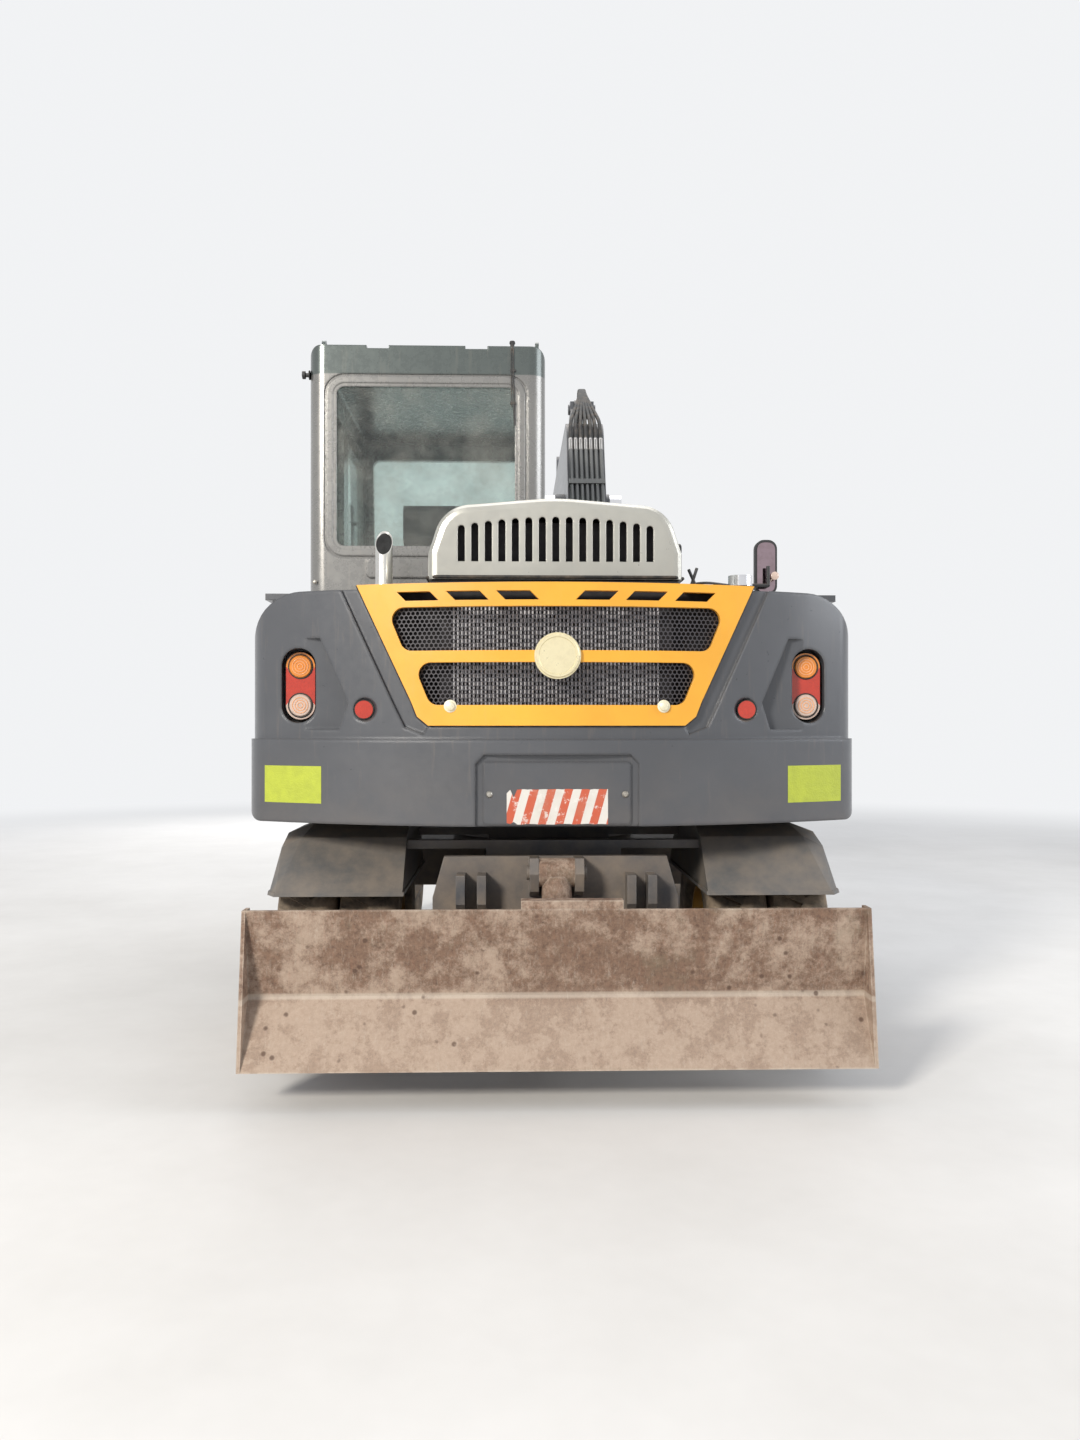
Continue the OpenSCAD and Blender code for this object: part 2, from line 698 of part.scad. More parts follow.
module upper_frame() {
    color(c_dark) {
        flat_plate(deck_z0, deck_z1) deck_plan();
        difference() {
            translate([0, 0, ring_z1 - 54]) cylinder(r = 340, h = deck_z0 - ring_z1 + 55);
            translate([0, 0, ring_z1 - 70]) cylinder(r = 220, h = 100);
        }
        for (x = foot_plate_x) side_plate(x, x + foot_plate_t) foot_plate();
        x_bar(foot, pin_r, foot_plate_x[0] - 10, foot_plate_x[1] + foot_plate_t + 10);
        both_sides() translate([body_half - 15, cover_pin_y, deck_z1 - 1]) cylinder(r = 8, h = 50);
        for (x = [cab_x[0] + 110, cab_x[1] - 130], y = [cab_y[0] + 120, cab_y[1] - 260])
            translate([x, y, deck_z1 - 1]) cylinder(r = 45, h = cab_z[0] - deck_z1 + 1 - seat);
        x_bar(lift_base, pin_r, boom_x - lift_x - 50, boom_x + lift_x + 50);
        for (x = [boom_x - lift_x - 50, boom_x + lift_x + 40]) x_bar(lift_base, 45, x, x + 10);
    }
}

// Plan of the tail: a flat curve behind and two round corners, up to the straight front
module tail_plan(depth, half) {
    corner_x = half - tail_corner;
    corner_y = tail_y(corner_x, depth + tail_corner) - 0.5;
    tangent_x = corner_x * (tail_curve - depth) / (tail_curve - depth - tail_corner);
    intersection() {
        translate([0, tail_curve - tail_r]) circle(tail_curve - depth, $fn = 180);
        union() {
            translate([-half, corner_y]) square([2 * half, cw_front - corner_y]);
            translate([-tangent_x, -tail_r]) square([2 * tangent_x, tail_r]);
            for (s = [-1, 1]) translate([s * corner_x, corner_y]) circle(tail_corner);
        }
        translate([-half, -tail_r]) square([2 * half, tail_r + cw_front]);
    }
}

// Curved sheet along the tail's back, between two depths inside its skin
module tail_sheet(depth0, depth1, z0, z1) {
    translate([0, tail_curve - tail_r, z0]) linear_extrude(z1 - z0) difference() {
        circle(tail_curve - depth0, $fn = 180);
        circle(tail_curve - depth1, $fn = 180);
    }
}

// Rear view of the counterweight: round shoulders above, small corners below
module tail_face(half, z0, z1, r0, r1) {
    hull() {
        for (s = [-1, 1]) {
            translate([s * (half - r0), z0 + r0]) circle(r0);
            translate([s * (half - r1), z1 - r1]) circle(r1);
        }
    }
}

module grille_outline(grow) {
    offset(grow) polygon(concat([for (i = [3:-1:0]) [-grille_half[i], grille_z[i]]],
        [for (i = [0:3]) [grille_half[i], grille_z[i]]]));
}

module plate_recess() {
    half = plate_w / 2 + 24;
    polygon([[-half, cw_z0 - 10], [-half, plate_z[1] - 7], [-half + 28, plate_z[1] + 23],
        [half - 28, plate_z[1] + 23], [half, plate_z[1] - 7], [half, cw_z0 - 10]]);
}

// Shallow hollow round a tail lamp, its inner side slanted as the grille's
module lamp_hollow(s) {
    polygon([[s * (lamp_x + 72), lamp_z + 160], [s * (lamp_x - 80), lamp_z + 160], [s * (lamp_x - 180), lamp_z - 60],
        [s * (lamp_x - 150), lamp_z - 150], [s * (lamp_x + 72), lamp_z - 150]]);
}

// Slanted bands beside the grille, from the top edge to its lower corners
module grille_bevel() {
    edge = concat([[grille_half[3], cw_z1 + 20]], [for (i = [2:-1:0]) [grille_half[i], grille_z[i]]],
        [[440, cw_z0 + 300], [505, cw_z0 + 325], [540, cw_z0 + 395], [grille_half[3] + 66, cw_z1 + 20]]);
    for (s = [-1, 1]) polygon([for (p = edge) [s * p[0], p[1]]]);
}

module counterweight() {
    half = upper_w / 2;
    color(c_dark) difference() {
        union() {
            intersection() {
                flat_plate(crease_z - 1, cw_z1) tail_plan(skirt_in, half - 8);
                face_plate(-tail_r - 10, cw_front + 10) tail_face(half - 8, cw_z0, cw_z1, 60, 190);
            }
            intersection() {
                flat_plate(cw_z0, crease_z) tail_plan(0, half);
                face_plate(-tail_r - 10, cw_front + 10) tail_face(half, cw_z0, cw_z1, 50, 190);
            }
        }
        face_plate(-tail_r - 20, cw_front + 20) grille_outline(seat);
        block([-600, -tail_r + 220, cw_z0 + 90], [600, cw_front + 20, cw_z1 + 10]);
        block([-440, -tail_r + 100, core_z0], [440, -tail_r + 250, cw_z1 + 10]);
        face_plate(-tail_r - 20, -tail_r + 28) plate_recess();
        for (s = [-1, 1]) {
            face_plate(-tail_r - 20, lamp_y) translate([s * lamp_x, lamp_z]) round_rect(lamp_w + 24, lamp_h + 24, 60);
            face_plate(-tail_r - 20, tail_y(lamp_x - 62, skirt_in) + 16) lamp_hollow(s);
            translate([s * reflector_x, reflector_y, reflector_z]) rotate([90, 0, 0])
                cylinder(r1 = 34, r2 = 60, h = 60);
            translate([s * plate_hole_x, -tail_r + 20, plate_hole_z]) rotate([-90, 0, 0]) cylinder(r = 5, h = 60);
            translate([s * lift_hole_x, lift_hole_y, cw_z1 - 80]) cylinder(r = 15, h = 90);
        }
        intersection() {
            tail_sheet(-20, skirt_in + 12, crease_z, cw_z1 + 10);
            face_plate(-tail_r - 30, -tail_r + 400) grille_bevel();
        }
    }
}

// Six slanted slots above the grille, mirrored at the middle
module vent_row() {
    for (s = [-1, 1], x = [60, 225, 390])
        polygon([[s * x, vent_z], [s * (x + 110), vent_z], [s * (x + 140), vent_z + 30], [s * (x + 30), vent_z + 30]]);
}

// Grille opening [z0, z1, half width below, half width above], its ends slanted as the panel's sides
module grille_opening(o) {
    lean = (o[3] - o[2]) / (o[1] - o[0]);
    slant = sqrt(1 + pow(lean, 2));
    out = [open_r / slant, -open_r * lean / slant];
    low = [o[2] + (lean - slant) * open_r, o[0] + open_r];
    high = [o[3] - (lean + slant) * open_r, o[1] - open_r];
    side = [[high[0], o[1]], high + out, low + out, [low[0], o[0]]];
    polygon(concat(side, [for (i = [3:-1:0]) [-side[i][0], side[i][1]]]));
    for (s = [-1, 1], c = [low, high]) translate([s * c[0], c[1]]) circle(open_r);
}

module grille_panel() {
    color(c_yellow) difference() {
        intersection() {
            face_plate(-tail_r - 10, -tail_r + 300) grille_outline(0);
            tail_sheet(skirt_in - 12, skirt_in + 12, cw_z0, grille_top + 10);
        }
        face_plate(-tail_r - 20, -tail_r + 350) grille_opening(upper_open);
        face_plate(-tail_r - 20, -tail_r + 350) grille_opening(lower_open);
        face_plate(-tail_r - 20, -tail_r + 350) vent_row();
    }
    color(c_yellow) translate([0, -tail_r + skirt_in - 24, badge_z]) rotate([-90, 0, 0])
        cylinder(r = badge_r, h = 22);
}

// Six-sided holes behind one grille opening, in staggered rows
module mesh_holes(o) {
    step_z = hex_pitch * sin(60);
    rows = floor((o[1] - o[0]) / step_z / 2);
    for (j = [-rows:rows]) {
        z = (o[0] + o[1]) / 2 + j * step_z;
        cols = floor((o[2] + (o[3] - o[2]) * (z - o[0]) / (o[1] - o[0])) / hex_pitch);
        shift = abs(j) % 2 == 0 ? 0 : hex_pitch / 2;
        for (i = [-cols:cols - (shift > 0 ? 1 : 0)]) translate([i * hex_pitch + shift, z]) rotate(30)
            circle(hex_r, $fn = 6);
    }
}

module mesh_outline() {
    difference() {
        intersection() {
            grille_outline(-8);
            translate([0, cw_z0 + 560]) square([1180, 430], center = true);
        }
        mesh_holes(upper_open);
        mesh_holes(lower_open);
    }
}

// Mesh sheet with rows of six-sided holes, and the radiator core behind it
module grille_mesh() {
    color(c_black) intersection() {
        face_plate(-tail_r, -tail_r + 300) mesh_outline();
        tail_sheet(skirt_in + 12 + seat, skirt_in + 20, cw_z0, grille_top);
    }
    color(c_steel) block([-420, -tail_r + 110, core_z0 + seat], [420, -tail_r + 190, grille_top - 30]);
}

module tail_lamps() {
    color("orangered") both_sides() {
        face_plate(lamp_y - lamp_t, lamp_y - seat) translate([lamp_x, lamp_z]) round_rect(lamp_w, lamp_h, 49);
        for (z = [-67, 67]) translate([lamp_x, lamp_y - lamp_t - 7, lamp_z + z]) rotate([-90, 0, 0])
            cylinder(r1 = 36, r2 = 41, h = 8);
        translate([reflector_x, reflector_y - seat, reflector_z]) rotate([90, 0, 0]) cylinder(r = 30, h = 10);
    }
}

module number_plate() {
    color(c_dark) difference() {
        face_plate(-tail_r + 22, -tail_r + 28 - seat) translate([0, (plate_z[0] + plate_z[1]) / 2])
            round_rect(plate_w, plate_z[1] - plate_z[0], 12);
        for (s = [-1, 1]) translate([s * plate_hole_x, -tail_r, plate_hole_z]) rotate([-90, 0, 0])
            cylinder(r = 5, h = 60);
    }
}

module engine_block() {
    color(c_steel) {
        block([-400, engine_y[0], engine_z[0]], [300, engine_y[1], engine_z[1]]);
        for (x = [-300, 200], leg = [[engine_y[0] + 80, cw_z0 + 90], [engine_y[1] - 100, deck_z1]])
            block([x - 30, leg[0] - 30, leg[1]], [x + 30, leg[0] + 30, engine_z[0]]);
    }
}

module top_cover() {
    color(c_dark) {
        difference() {
            block([-body_half, cw_front - 110, cw_z1], [body_half, cab_y[0] - air, cover_z1]);
            block([-hood_w / 2 + 30, cw_front - 120, cw_z1 - 10], [hood_w / 2 - 30, hood_front - 40, cover_z1 + 10]);
        }
        difference() {
            block([-hood_w / 2 + 10, hood_back + 30, cover_z1 - 8], [hood_w / 2 - 10, hood_front, hood_z0 - seat]);
            block([-hood_w / 2 + 40, hood_back + 60, cw_z1], [hood_w / 2 - 40, hood_front - 30, hood_z0 + 10]);
        }
        translate([0, 0, hood_z0 - 1]) face_plate(hood_front + 4, hood_front + 14) hood_section(0);
        block([-hood_w / 2 + 10, hood_front - 30, cover_z1 - 8], [hood_w / 2 - 10, hood_front + 14, hood_z0 - seat]);
        for (x = hood_hinge_x, e = [-1, 1]) side_plate(x + e * 17 - 7, x + e * 17 + 7)
            link_shape(hood_pin + [0, -30], hood_pin, 11, 11);
        for (x = hood_hinge_x) x_bar(hood_pin, 5, x - 24, x + 24);
        difference() {
            block([5, cab_y[0] - air - 1, deck_z1 + 110], [430, -215, cover_z1]);
            block([10, cab_y[0] + 10, deck_z1], [425, -220, cover_z1 - 5]);
        }
    }
}

// Section of the hood, smaller by an inset, its foot kept level
module hood_section(inset) {
    r = hood_corner - inset;
    w = hood_w / 2 - inset;
    hull() {
        translate([-w, 0]) square([2 * w, 90]);
        for (s = [-1, 1]) translate([s * (w - r - 20), hood_h - hood_corner - 22]) circle(r, $fn = 48);
        translate([0, hood_h - hood_crown]) intersection() {
            circle(hood_crown - inset, $fn = 120);
            translate([-250, hood_crown - 100]) square([500, 100]);
        }
    }
}

module hood_slice(y, inset) {
    translate([0, 0, hood_z0]) face_plate(y, y + 1) hood_section(inset);
}

module engine_hood() {
    color(c_pewter) difference() {
        union() {
            translate([0, 0, hood_z0]) face_plate(hood_back + hood_round, hood_front) hood_section(0);
            for (a = [0, 30, 60]) hull() {
                hood_slice(hood_back + hood_round * (1 - cos(a)), hood_round * (1 - sin(a)));
                hood_slice(hood_back + hood_round * (1 - cos(a + 30)), hood_round * (1 - sin(a + 30)));
            }
        }
        translate([0, 0, hood_z0 - 1]) face_plate(hood_back + 12, hood_front + 1) hood_section(12);
        for (i = [-7:7]) translate([i * 45.8, hood_back + 20, hood_z0 + 60]) rotate([90, 0, 0])
            linear_extrude(50) {
                translate([-12, 0]) square([24, 140 - 0.6 * i * i]);
                translate([0, 140 - 0.6 * i * i]) circle(12, $fn = 16);
            }
    }
    color(c_pewter) for (x = hood_hinge_x) difference() {
        side_plate(x - 9, x + 9) {
            link_shape(hood_pin, hood_pin + [-8, 0], 10, 10);
            polygon([hood_pin + [0, 10], hood_pin + [0, -9], hood_pin + [-100, -28], hood_pin + [-100, -8]]);
        }
        x_bar(hood_pin, 5 + pin_gap, x - 20, x + 20);
    }
}

module cover_side(side) {
    mirror([side < 0 ? 1 : 0, 0, 0]) color(c_dark)
        difference() {
            block([body_half - 30, cw_front + air, deck_z1 + air], [body_half, cover_y1 - 12, cw_z1 - air]);
            translate([body_half - 15, cover_pin_y, deck_z1]) cylinder(r = 8 + pin_gap, h = 60);
            for (i = [0:louvre_n - 1]) side_plate(body_half - 12, body_half + 1)
                translate([(cw_front + cover_y1) / 2, cw_z1 - 110 - 42 * i]) round_rect(300, 22, 10);
            side_plate(body_half - 8, body_half + 1) translate([cw_front + 70, 1190]) round_rect(50, 90, 14);
        }
}

module side_tank() {
    color(c_dark) {
        side_plate(tank_x0, body_half)
            polygon(concat([[cab_y[0] - air, deck_z1], [tank_nose[0][0], deck_z1]], tank_nose,
                [[cab_y[0] - air, tank_z1]]));
    }
    color(c_yellow) translate([filler[0], filler[1], cover_z1]) cylinder(r = 30, h = 60);
    color(c_chrome) translate([filler[0], filler[1], cover_z1 + 60]) cylinder(r = 47, h = 45);
}

module exhaust_pipe() {
    color(c_chrome) translate([pipe[0], pipe[1], cover_z1]) difference() {
        cylinder(r = 33, h = 255);
        translate([0, 0, 20]) cylinder(r = 29, h = 300);
        translate([0, -30, 215]) rotate([-40, 0, 0]) translate([-50, -80, 0]) cube([100, 160, 100]);
    }
}

// Cab: hollow box with its windows and door opening cut
module cab_side() {
    polygon([[cab_y[0], cab_z[0]], [cab_y[1] - 90, cab_z[0]], [cab_y[1], cab_z[0] + 420], [cab_y[1] - 10, 1900],
        [cab_y[1] - 120, cab_z[1]], [cab_y[0], cab_z[1]]]);
}

module cab_body(inset) {
    mid = [(cab_x[0] + cab_x[1]) / 2, (cab_y[0] + cab_y[1]) / 2];
    mid_z = (cab_z[0] + cab_z[1]) / 2;
    intersection() {
        side_plate(cab_x[0] - 1, cab_x[1] + 1) offset(delta = -inset) cab_side();
        face_plate(cab_y[0] - 1, cab_y[1] + 1) translate([mid[0], mid_z - roof_r])
            round_rect(cab_w - 2 * inset, cab_z[1] - cab_z[0] + 2 * roof_r - 2 * inset, roof_r - inset / 2);
        flat_plate(cab_z[0] - 1, cab_z[1] + 1) translate(mid)
            round_rect(cab_w - 2 * inset, cab_l - 2 * inset, 70 - inset / 2);
    }
}

module door_outline(inset) {
    offset(delta = -inset) polygon([[door_y[0], door_z[0]], [door_y[1] - 60, door_z[0]], [door_y[1], door_z[0] + 380],
        [door_y[1] - 5, 1900], [door_y[1] - 75, door_z[1]], [door_y[0], door_z[1]]]);
}

module rear_window(grow) {
    translate([(cab_x[0] + cab_x[1]) / 2 - 5, (rear_sill + window_top) / 2])
        round_rect(cab_w - 220 + 2 * grow, window_top - rear_sill + 2 * grow, 50 + grow);
}

module side_window(y0, y1, z0, z1, grow) {
    translate([(y0 + y1) / 2, (z0 + z1) / 2]) round_rect(y1 - y0 + 2 * grow, z1 - z0 + 2 * grow, 40 + grow);
}

module right_window(grow) {
    side_window(side_win_y[0], side_win_y[1], right_sill, window_top, grow);
}

module left_window(grow) {
    side_window(left_win_y[0], left_win_y[1], left_sill, window_top, grow);
}

module front_window(z0, z1, grow) {
    translate([(cab_x[0] + cab_x[1]) / 2, (z0 + z1) / 2]) round_rect(cab_w - 170 + 2 * grow, z1 - z0 + 2 * grow, 40);
}

module cab_frame() {
    color(c_pewter) difference() {
        cab_body(0);
        cab_body(cab_wall);
        face_plate(cab_y[0] - 20, cab_y[0] + 100) rear_window(0);
        face_plate(cab_y[0] - 5, cab_y[0] + 5) difference() {
            rear_window(38);
            rear_window(28);
        }
        side_plate(cab_x[1] - 100, cab_x[1] + 20) right_window(0);
        side_plate(cab_x[0] - 20, cab_x[0] + 100) left_window(0);
        side_plate(cab_x[0] - 20, cab_x[0] + 100) door_outline(0);
        face_plate(cab_y[1] - 200, cab_y[1] + 60) for (z = front_win_z) front_window(z[0], z[1], 0);
        for (x = roof_groove_x) block([x - 47, cab_y[0] - 10, cab_top - 13], [x + 47, cab_y[1] + 10, cab_top + 10]);
    }
    color(c_black) {
        face_plate(cab_y[0] + 3, cab_y[0] + 12 - seat) difference() {
            rear_window(1);
            rear_window(-seal_w);
        }
        side_plate(cab_x[1] - 12 + seat, cab_x[1] - 3) difference() {
            right_window(1);
            right_window(-seal_w);
        }
        side_plate(cab_x[0] + 3, cab_x[0] + 12 - seat) difference() {
            left_window(1);
            left_window(-seal_w);
        }
    }
    color(c_pewter) face_plate(cab_y[0] - 12, cab_y[0] + 1) translate([cab_x[0] + 390, rear_sill - 80])
        round_rect(284, 82, 20);
    color(c_black) for (z = door_hinge_z) translate([cab_x[0] - 12, door_hinge_y, z]) {
        translate([0, 0, -16]) cylinder(r = 5, h = 122);
        for (z0 = [-16, 91]) block([-10, -9, z0], [13, 5, z0 + 15]);
    }
    color(c_black) {
        translate([cab_x[0] - 45, cab_y[1] - 50, rail_z[0]]) cylinder(r = 11, h = rail_z[1] - rail_z[0]);
        for (z = [rail_z[0] + 15, rail_z[1] - 15]) x_bar([cab_y[1] - 50, z], 9, cab_x[0] - 45, cab_x[0] + 8);
    }
    color(c_pewter) for (x = [cab_x[0] + 60, cab_x[1] - 36]) translate([x, cab_y[0] + 60, cab_top]) difference() {
        side_plate(-8, 8) translate([0, 12]) circle(25);
        side_plate(-10, 10) translate([0, 14]) circle(11);
        translate([-30, -30, -44]) cube([60, 60, 40]);
    }
}

module cab_glass() {
    color(c_glass) {
        face_plate(cab_y[0] + 12, cab_y[0] + 18) rear_window(-seat);
        side_plate(cab_x[1] - 18, cab_x[1] - 12) right_window(-seat);
        side_plate(cab_x[0] + 12, cab_x[0] + 18) left_window(-seat);
        intersection() {
            face_plate(cab_y[1] - 200, cab_y[1] + 60) for (z = front_win_z) front_window(z[0], z[1], -seat);
            difference() {
                cab_body(14);
                cab_body(20);
            }
        }
    }
}

module cab_door() {
    color(c_pewter) difference() {
        intersection() {
            side_plate(cab_x[0], cab_x[0] + cab_wall - 5) door_outline(6);
            cab_body(0);
        }
        side_plate(cab_x[0] - 20, cab_x[0] + 100) door_window(0);
    }
    color(c_black) for (z = door_hinge_z) translate([cab_x[0] - 12, door_hinge_y, z]) difference() {
        union() {
            cylinder(r = 10, h = 90);
            block([0, 4, 10], [12, 40, 80]);
        }
        translate([0, 0, -1]) cylinder(r = 5 + pin_gap, h = 92);
    }
}

module door_window(grow) {
    offset(delta = grow) intersection() {
        door_outline(70);
        translate([0, 1500]) square([2000, 2000]);
    }
}

module door_glass() {
    color(c_glass) side_plate(cab_x[0] + 14, cab_x[0] + 20) door_window(-seat);
}

module operator_seat() {
    mid = (cab_x[0] + cab_x[1]) / 2;
    color(c_black) {
        block([mid - 200, -250, cab_z[0] + cab_wall], [mid + 200, 150, 1280]);
        side_plate(mid - 240, mid + 240) translate([-30, 1339]) round_rect(520, 120, 50);
        side_plate(mid - 230, mid + 230)
            polygon([[-300, 1396], [-190, 1396], [-250, 2000], [-340, 2000]]);
        side_plate(mid - 130, mid + 130) translate([-320, 2100]) round_rect(90, 180, 40);
        side_plate(mid - 30, mid + 30) polygon([[-330, 1990], [-300, 1990], [-310, 2030], [-340, 2030]]);
    }
}

module controls() {
    mid = (cab_x[0] + cab_x[1]) / 2;
    color(c_black) {
        for (s = [-1, 1]) {
            block([mid + s * 310 - 60, -200, cab_z[0] + cab_wall], [mid + s * 310 + 60, 320, 1480]);
            translate([mid + s * 310, 250, 1480]) cylinder(r1 = 30, r2 = 16, h = 60);
            translate([mid + s * 310, 250, 1540]) cylinder(r = 22, h = 130);
        }
        side_plate(mid - 40, mid + 40)
            polygon([[640, cab_z[0] + cab_wall], [760, cab_z[0] + cab_wall], [600, 1664],
                [550, 1655]]);
        translate([mid, 575, 1660]) rotate([25, 0, 0]) rotate_extrude() translate([170, 0]) circle(14);
        translate([mid, 575, 1660]) rotate([25, 0, 0]) cylinder(r = 60, h = 24, center = true);
        for (a = [0, 120, 240]) translate([mid, 575, 1660]) rotate([25, 0, 0]) rotate([0, 0, a + 30])
            translate([50, -12, -6]) cube([115, 24, 12]);
    }
}

// Mirrors: the left one on the cab's front post, the right one on a post of the tank
module mirror_head(x, y, z, w, h) {
    translate([x, y, z]) face_plate(-18, 18) round_rect(w, h, 45);
}

module mirrors() {
    post_z = tank_z1 + 250;
    color(c_black) {
        x_bar([900, left_mirror[2]], 9, left_mirror[0], cab_x[0] - seat);
        translate([left_mirror[0], 900, left_mirror[2]]) rotate([-90, 0, 0]) cylinder(r = 9, h = left_mirror[1] - 890);
        mirror_head(left_mirror[0], left_mirror[1], left_mirror[2], 96, 300);
        translate([mirror_post[0], mirror_post[1], tank_z1 + seat]) cylinder(r = 12, h = post_z - tank_z1);
        x_bar([mirror_post[1], post_z - 10], 9, mirror_post[0], right_mirror[0]);
        translate([right_mirror[0], mirror_post[1], post_z - 10]) rotate([-90, 0, 0])
            cylinder(r = 9, h = right_mirror[1] - mirror_post[1]);
        translate([right_mirror[0], mirror_post[1], post_z - 10]) cylinder(r = 9, h = right_mirror[2] - post_z + 10);
        mirror_head(right_mirror[0], right_mirror[1], right_mirror[2], 110, 274);
    }
}

// Boom: box with a bend, drawn in its side view
module boom_profile() {
    a1 = boom_low_a + 90;
    a2 = boom_up_a + 90;
    polygon(concat(
        [along(foot, bend, 0, 100), along(foot, bend, 0.45, 140)],
        arc(bend, 165, a1, a2, 8),
        [along(bend, tip, 0.5, 135), along(bend, tip, 1, 82), along(bend, tip, 1, -82),
        along(bend, tip, 0.55, -140), along(bend, tip, 0.16, -180), lift_eye + [60, -30], lift_eye + [0, -80],
        lift_eye + [-60, -50], along(foot, bend, 0.62, -165), along(foot, bend, 0, -100)]));
}

module boom() {
    half = boom_w / 2;
    color(c_yellow) {
        difference() {
            union() {
                side_plate(boom_x - half, boom_x + half) boom_profile();
                x_bar(foot, 105, boom_x - 120, boom_x + 120);
                x_bar(tip, 90, boom_x - half - 12, boom_x + half + 12);
                x_bar(lift_eye, 62, boom_x - lift_x + lift_eye_w / 2 + 3, boom_x + lift_x - lift_eye_w / 2 - 3);
            }
            x_bar(foot, pin_r + pin_gap, boom_x - 130, boom_x + 130);
            side_plate(boom_x - arm_w / 2 - 5, boom_x + arm_w / 2 + 5) {
                translate(tip) circle(fork_r);
                polygon([tip + [10 - fork_r, 60], tip + [10 - fork_r, 400], tip + [200, 400], tip + [200, 60]]);
            }
        }
        for (s = [-1, 1]) side_plate(boom_x + s * 58 - 11, boom_x + s * 58 + 11)
            polygon([bend + [-20, 150], crowd_base + [-50, -10], crowd_base + [-40, 40], crowd_base + [30, 50],
                crowd_base + [60, 0], bend + [420, 150]]);
    }
    color(c_steel) {
        x_bar(tip, pin_r, boom_x - half - 22, boom_x + half + 22);
        x_bar(crowd_base, pin_r, boom_x - 80, boom_x + 80);
    }
}

// Height of the lower run's back over its pin line, and the pipes along it with their clips
function boom_back(k) = k < 0.45 ? 101 + 89 * k : 141 + (165 - 141) * (k - 0.45) / 0.55;

module boom_pipes() {
    color(c_black) {
        for (i = [0:6]) {
            a = along(foot, bend, 0.12, 152);
            b = along(foot, bend, 0.97, 182);
            x = boom_x - 84 + 28 * i;
            translate([x, 0, 0]) aim(a, b) cylinder(r = 11, h = norm(b - a), $fn = 24);
        }
        for (k = [0.2, 0.5, 0.8]) {
            p = along(foot, bend, k, boom_back(k) + seat);
            translate([boom_x - 100, p[0], p[1]]) rotate([boom_low_a, 0, 0]) translate([0, -15, 0])
                cube([200, 30, 32 + 4 * k]);
        }
    }
}

module boom_barrels() {
    color(c_yellow) for (s = [-1, 1]) translate([boom_x + s * lift_x, 0, 0])
        aim(lift_base, lift_eye) hydraulic_tube(900, lift_tube_r, lift_rod_r, 60, lift_eye_w);
}

module boom_rods() {
    reach = norm(lift_eye - lift_base);
    color(c_chrome) for (s = [-1, 1]) translate([boom_x + s * lift_x, 0, 0])
        aim(lift_base, lift_eye) hydraulic_rod(560, reach, lift_rod_r, 58, lift_eye_w);
}

module arm_shape() {
    union() {
        polygon([along(tip, wrist, 0, -98), along(tip, wrist, 0.12, -98), along(tip, wrist, 0.4, -108),
            along(tip, wrist, 1, -70), along(tip, wrist, 1, 62), along(tip, wrist, 0.7, 53),
            along(tip, wrist, 0.52, 105), along(tip, wrist, 0.16, 135), along(tip, wrist, 0, 110)]);
        link_shape(tip, tip + polar(200, 90), 98, 75);
    }
}

module arm() {
    half = arm_w / 2;
    color(c_yellow) {
        difference() {
            union() {
                side_plate(boom_x - half, boom_x + half) arm_shape();
                x_bar(wrist, 66, boom_x - arm_end_w / 2, boom_x + arm_end_w / 2);
                for (s = [-1, 1]) side_plate(boom_x + s * 64 - 11, boom_x + s * 64 + 11)
                    link_shape(tip + polar(150, 90), crowd_eye, 75, 50);
                for (s = [-1, 1]) side_plate(boom_x + s * 60 - 11, boom_x + s * 60 + 11)
                    polygon([curl_base + [-80, 170], curl_base + [-10, 50], curl_base + [45, 20], curl_base + [45, -30],
                        curl_base + [-20, -70], curl_base + [-110, -260]]);
            }
            x_bar(tip, pin_r + pin_gap, boom_x - half - 1, boom_x + half + 1);
            x_bar(wrist, pin_r + pin_gap, boom_x - 150, boom_x + 150);
        }
    }
    color(c_steel) {
        x_bar(rocker_pin, 26, boom_x - rocker_in - rocker_t, boom_x + rocker_in + rocker_t);
        x_bar(curl_base, 26, boom_x - 80, boom_x + 80);
    }
}

module arm_barrel() {
    color(c_yellow) translate([boom_x, 0, 0]) aim(crowd_base, crowd_eye)
        hydraulic_tube(1180, crowd_tube_r, lift_rod_r, 55, 90);
}

module arm_rod() {
    reach = norm(crowd_eye - crowd_base);
    color(c_chrome) translate([boom_x, 0, 0]) aim(crowd_base, crowd_eye)
        hydraulic_rod(600, reach, lift_rod_r, 48, 90);
}

// Bucket, drawn about the wrist pin: side wall outline, shell, ears and teeth
function shell_line(t) = concat(
    [wrist + [-150, -118 - t], wrist + [250, -105 - t]],
    arc(wrist + [250, -285], 180 - t, 90, 0, 6),
    [wrist + [430 - t, -520]],
    arc(wrist + [130, -520], 300 - t, 0, -70, 8),
    [wrist + [-70, -895 + t]]);

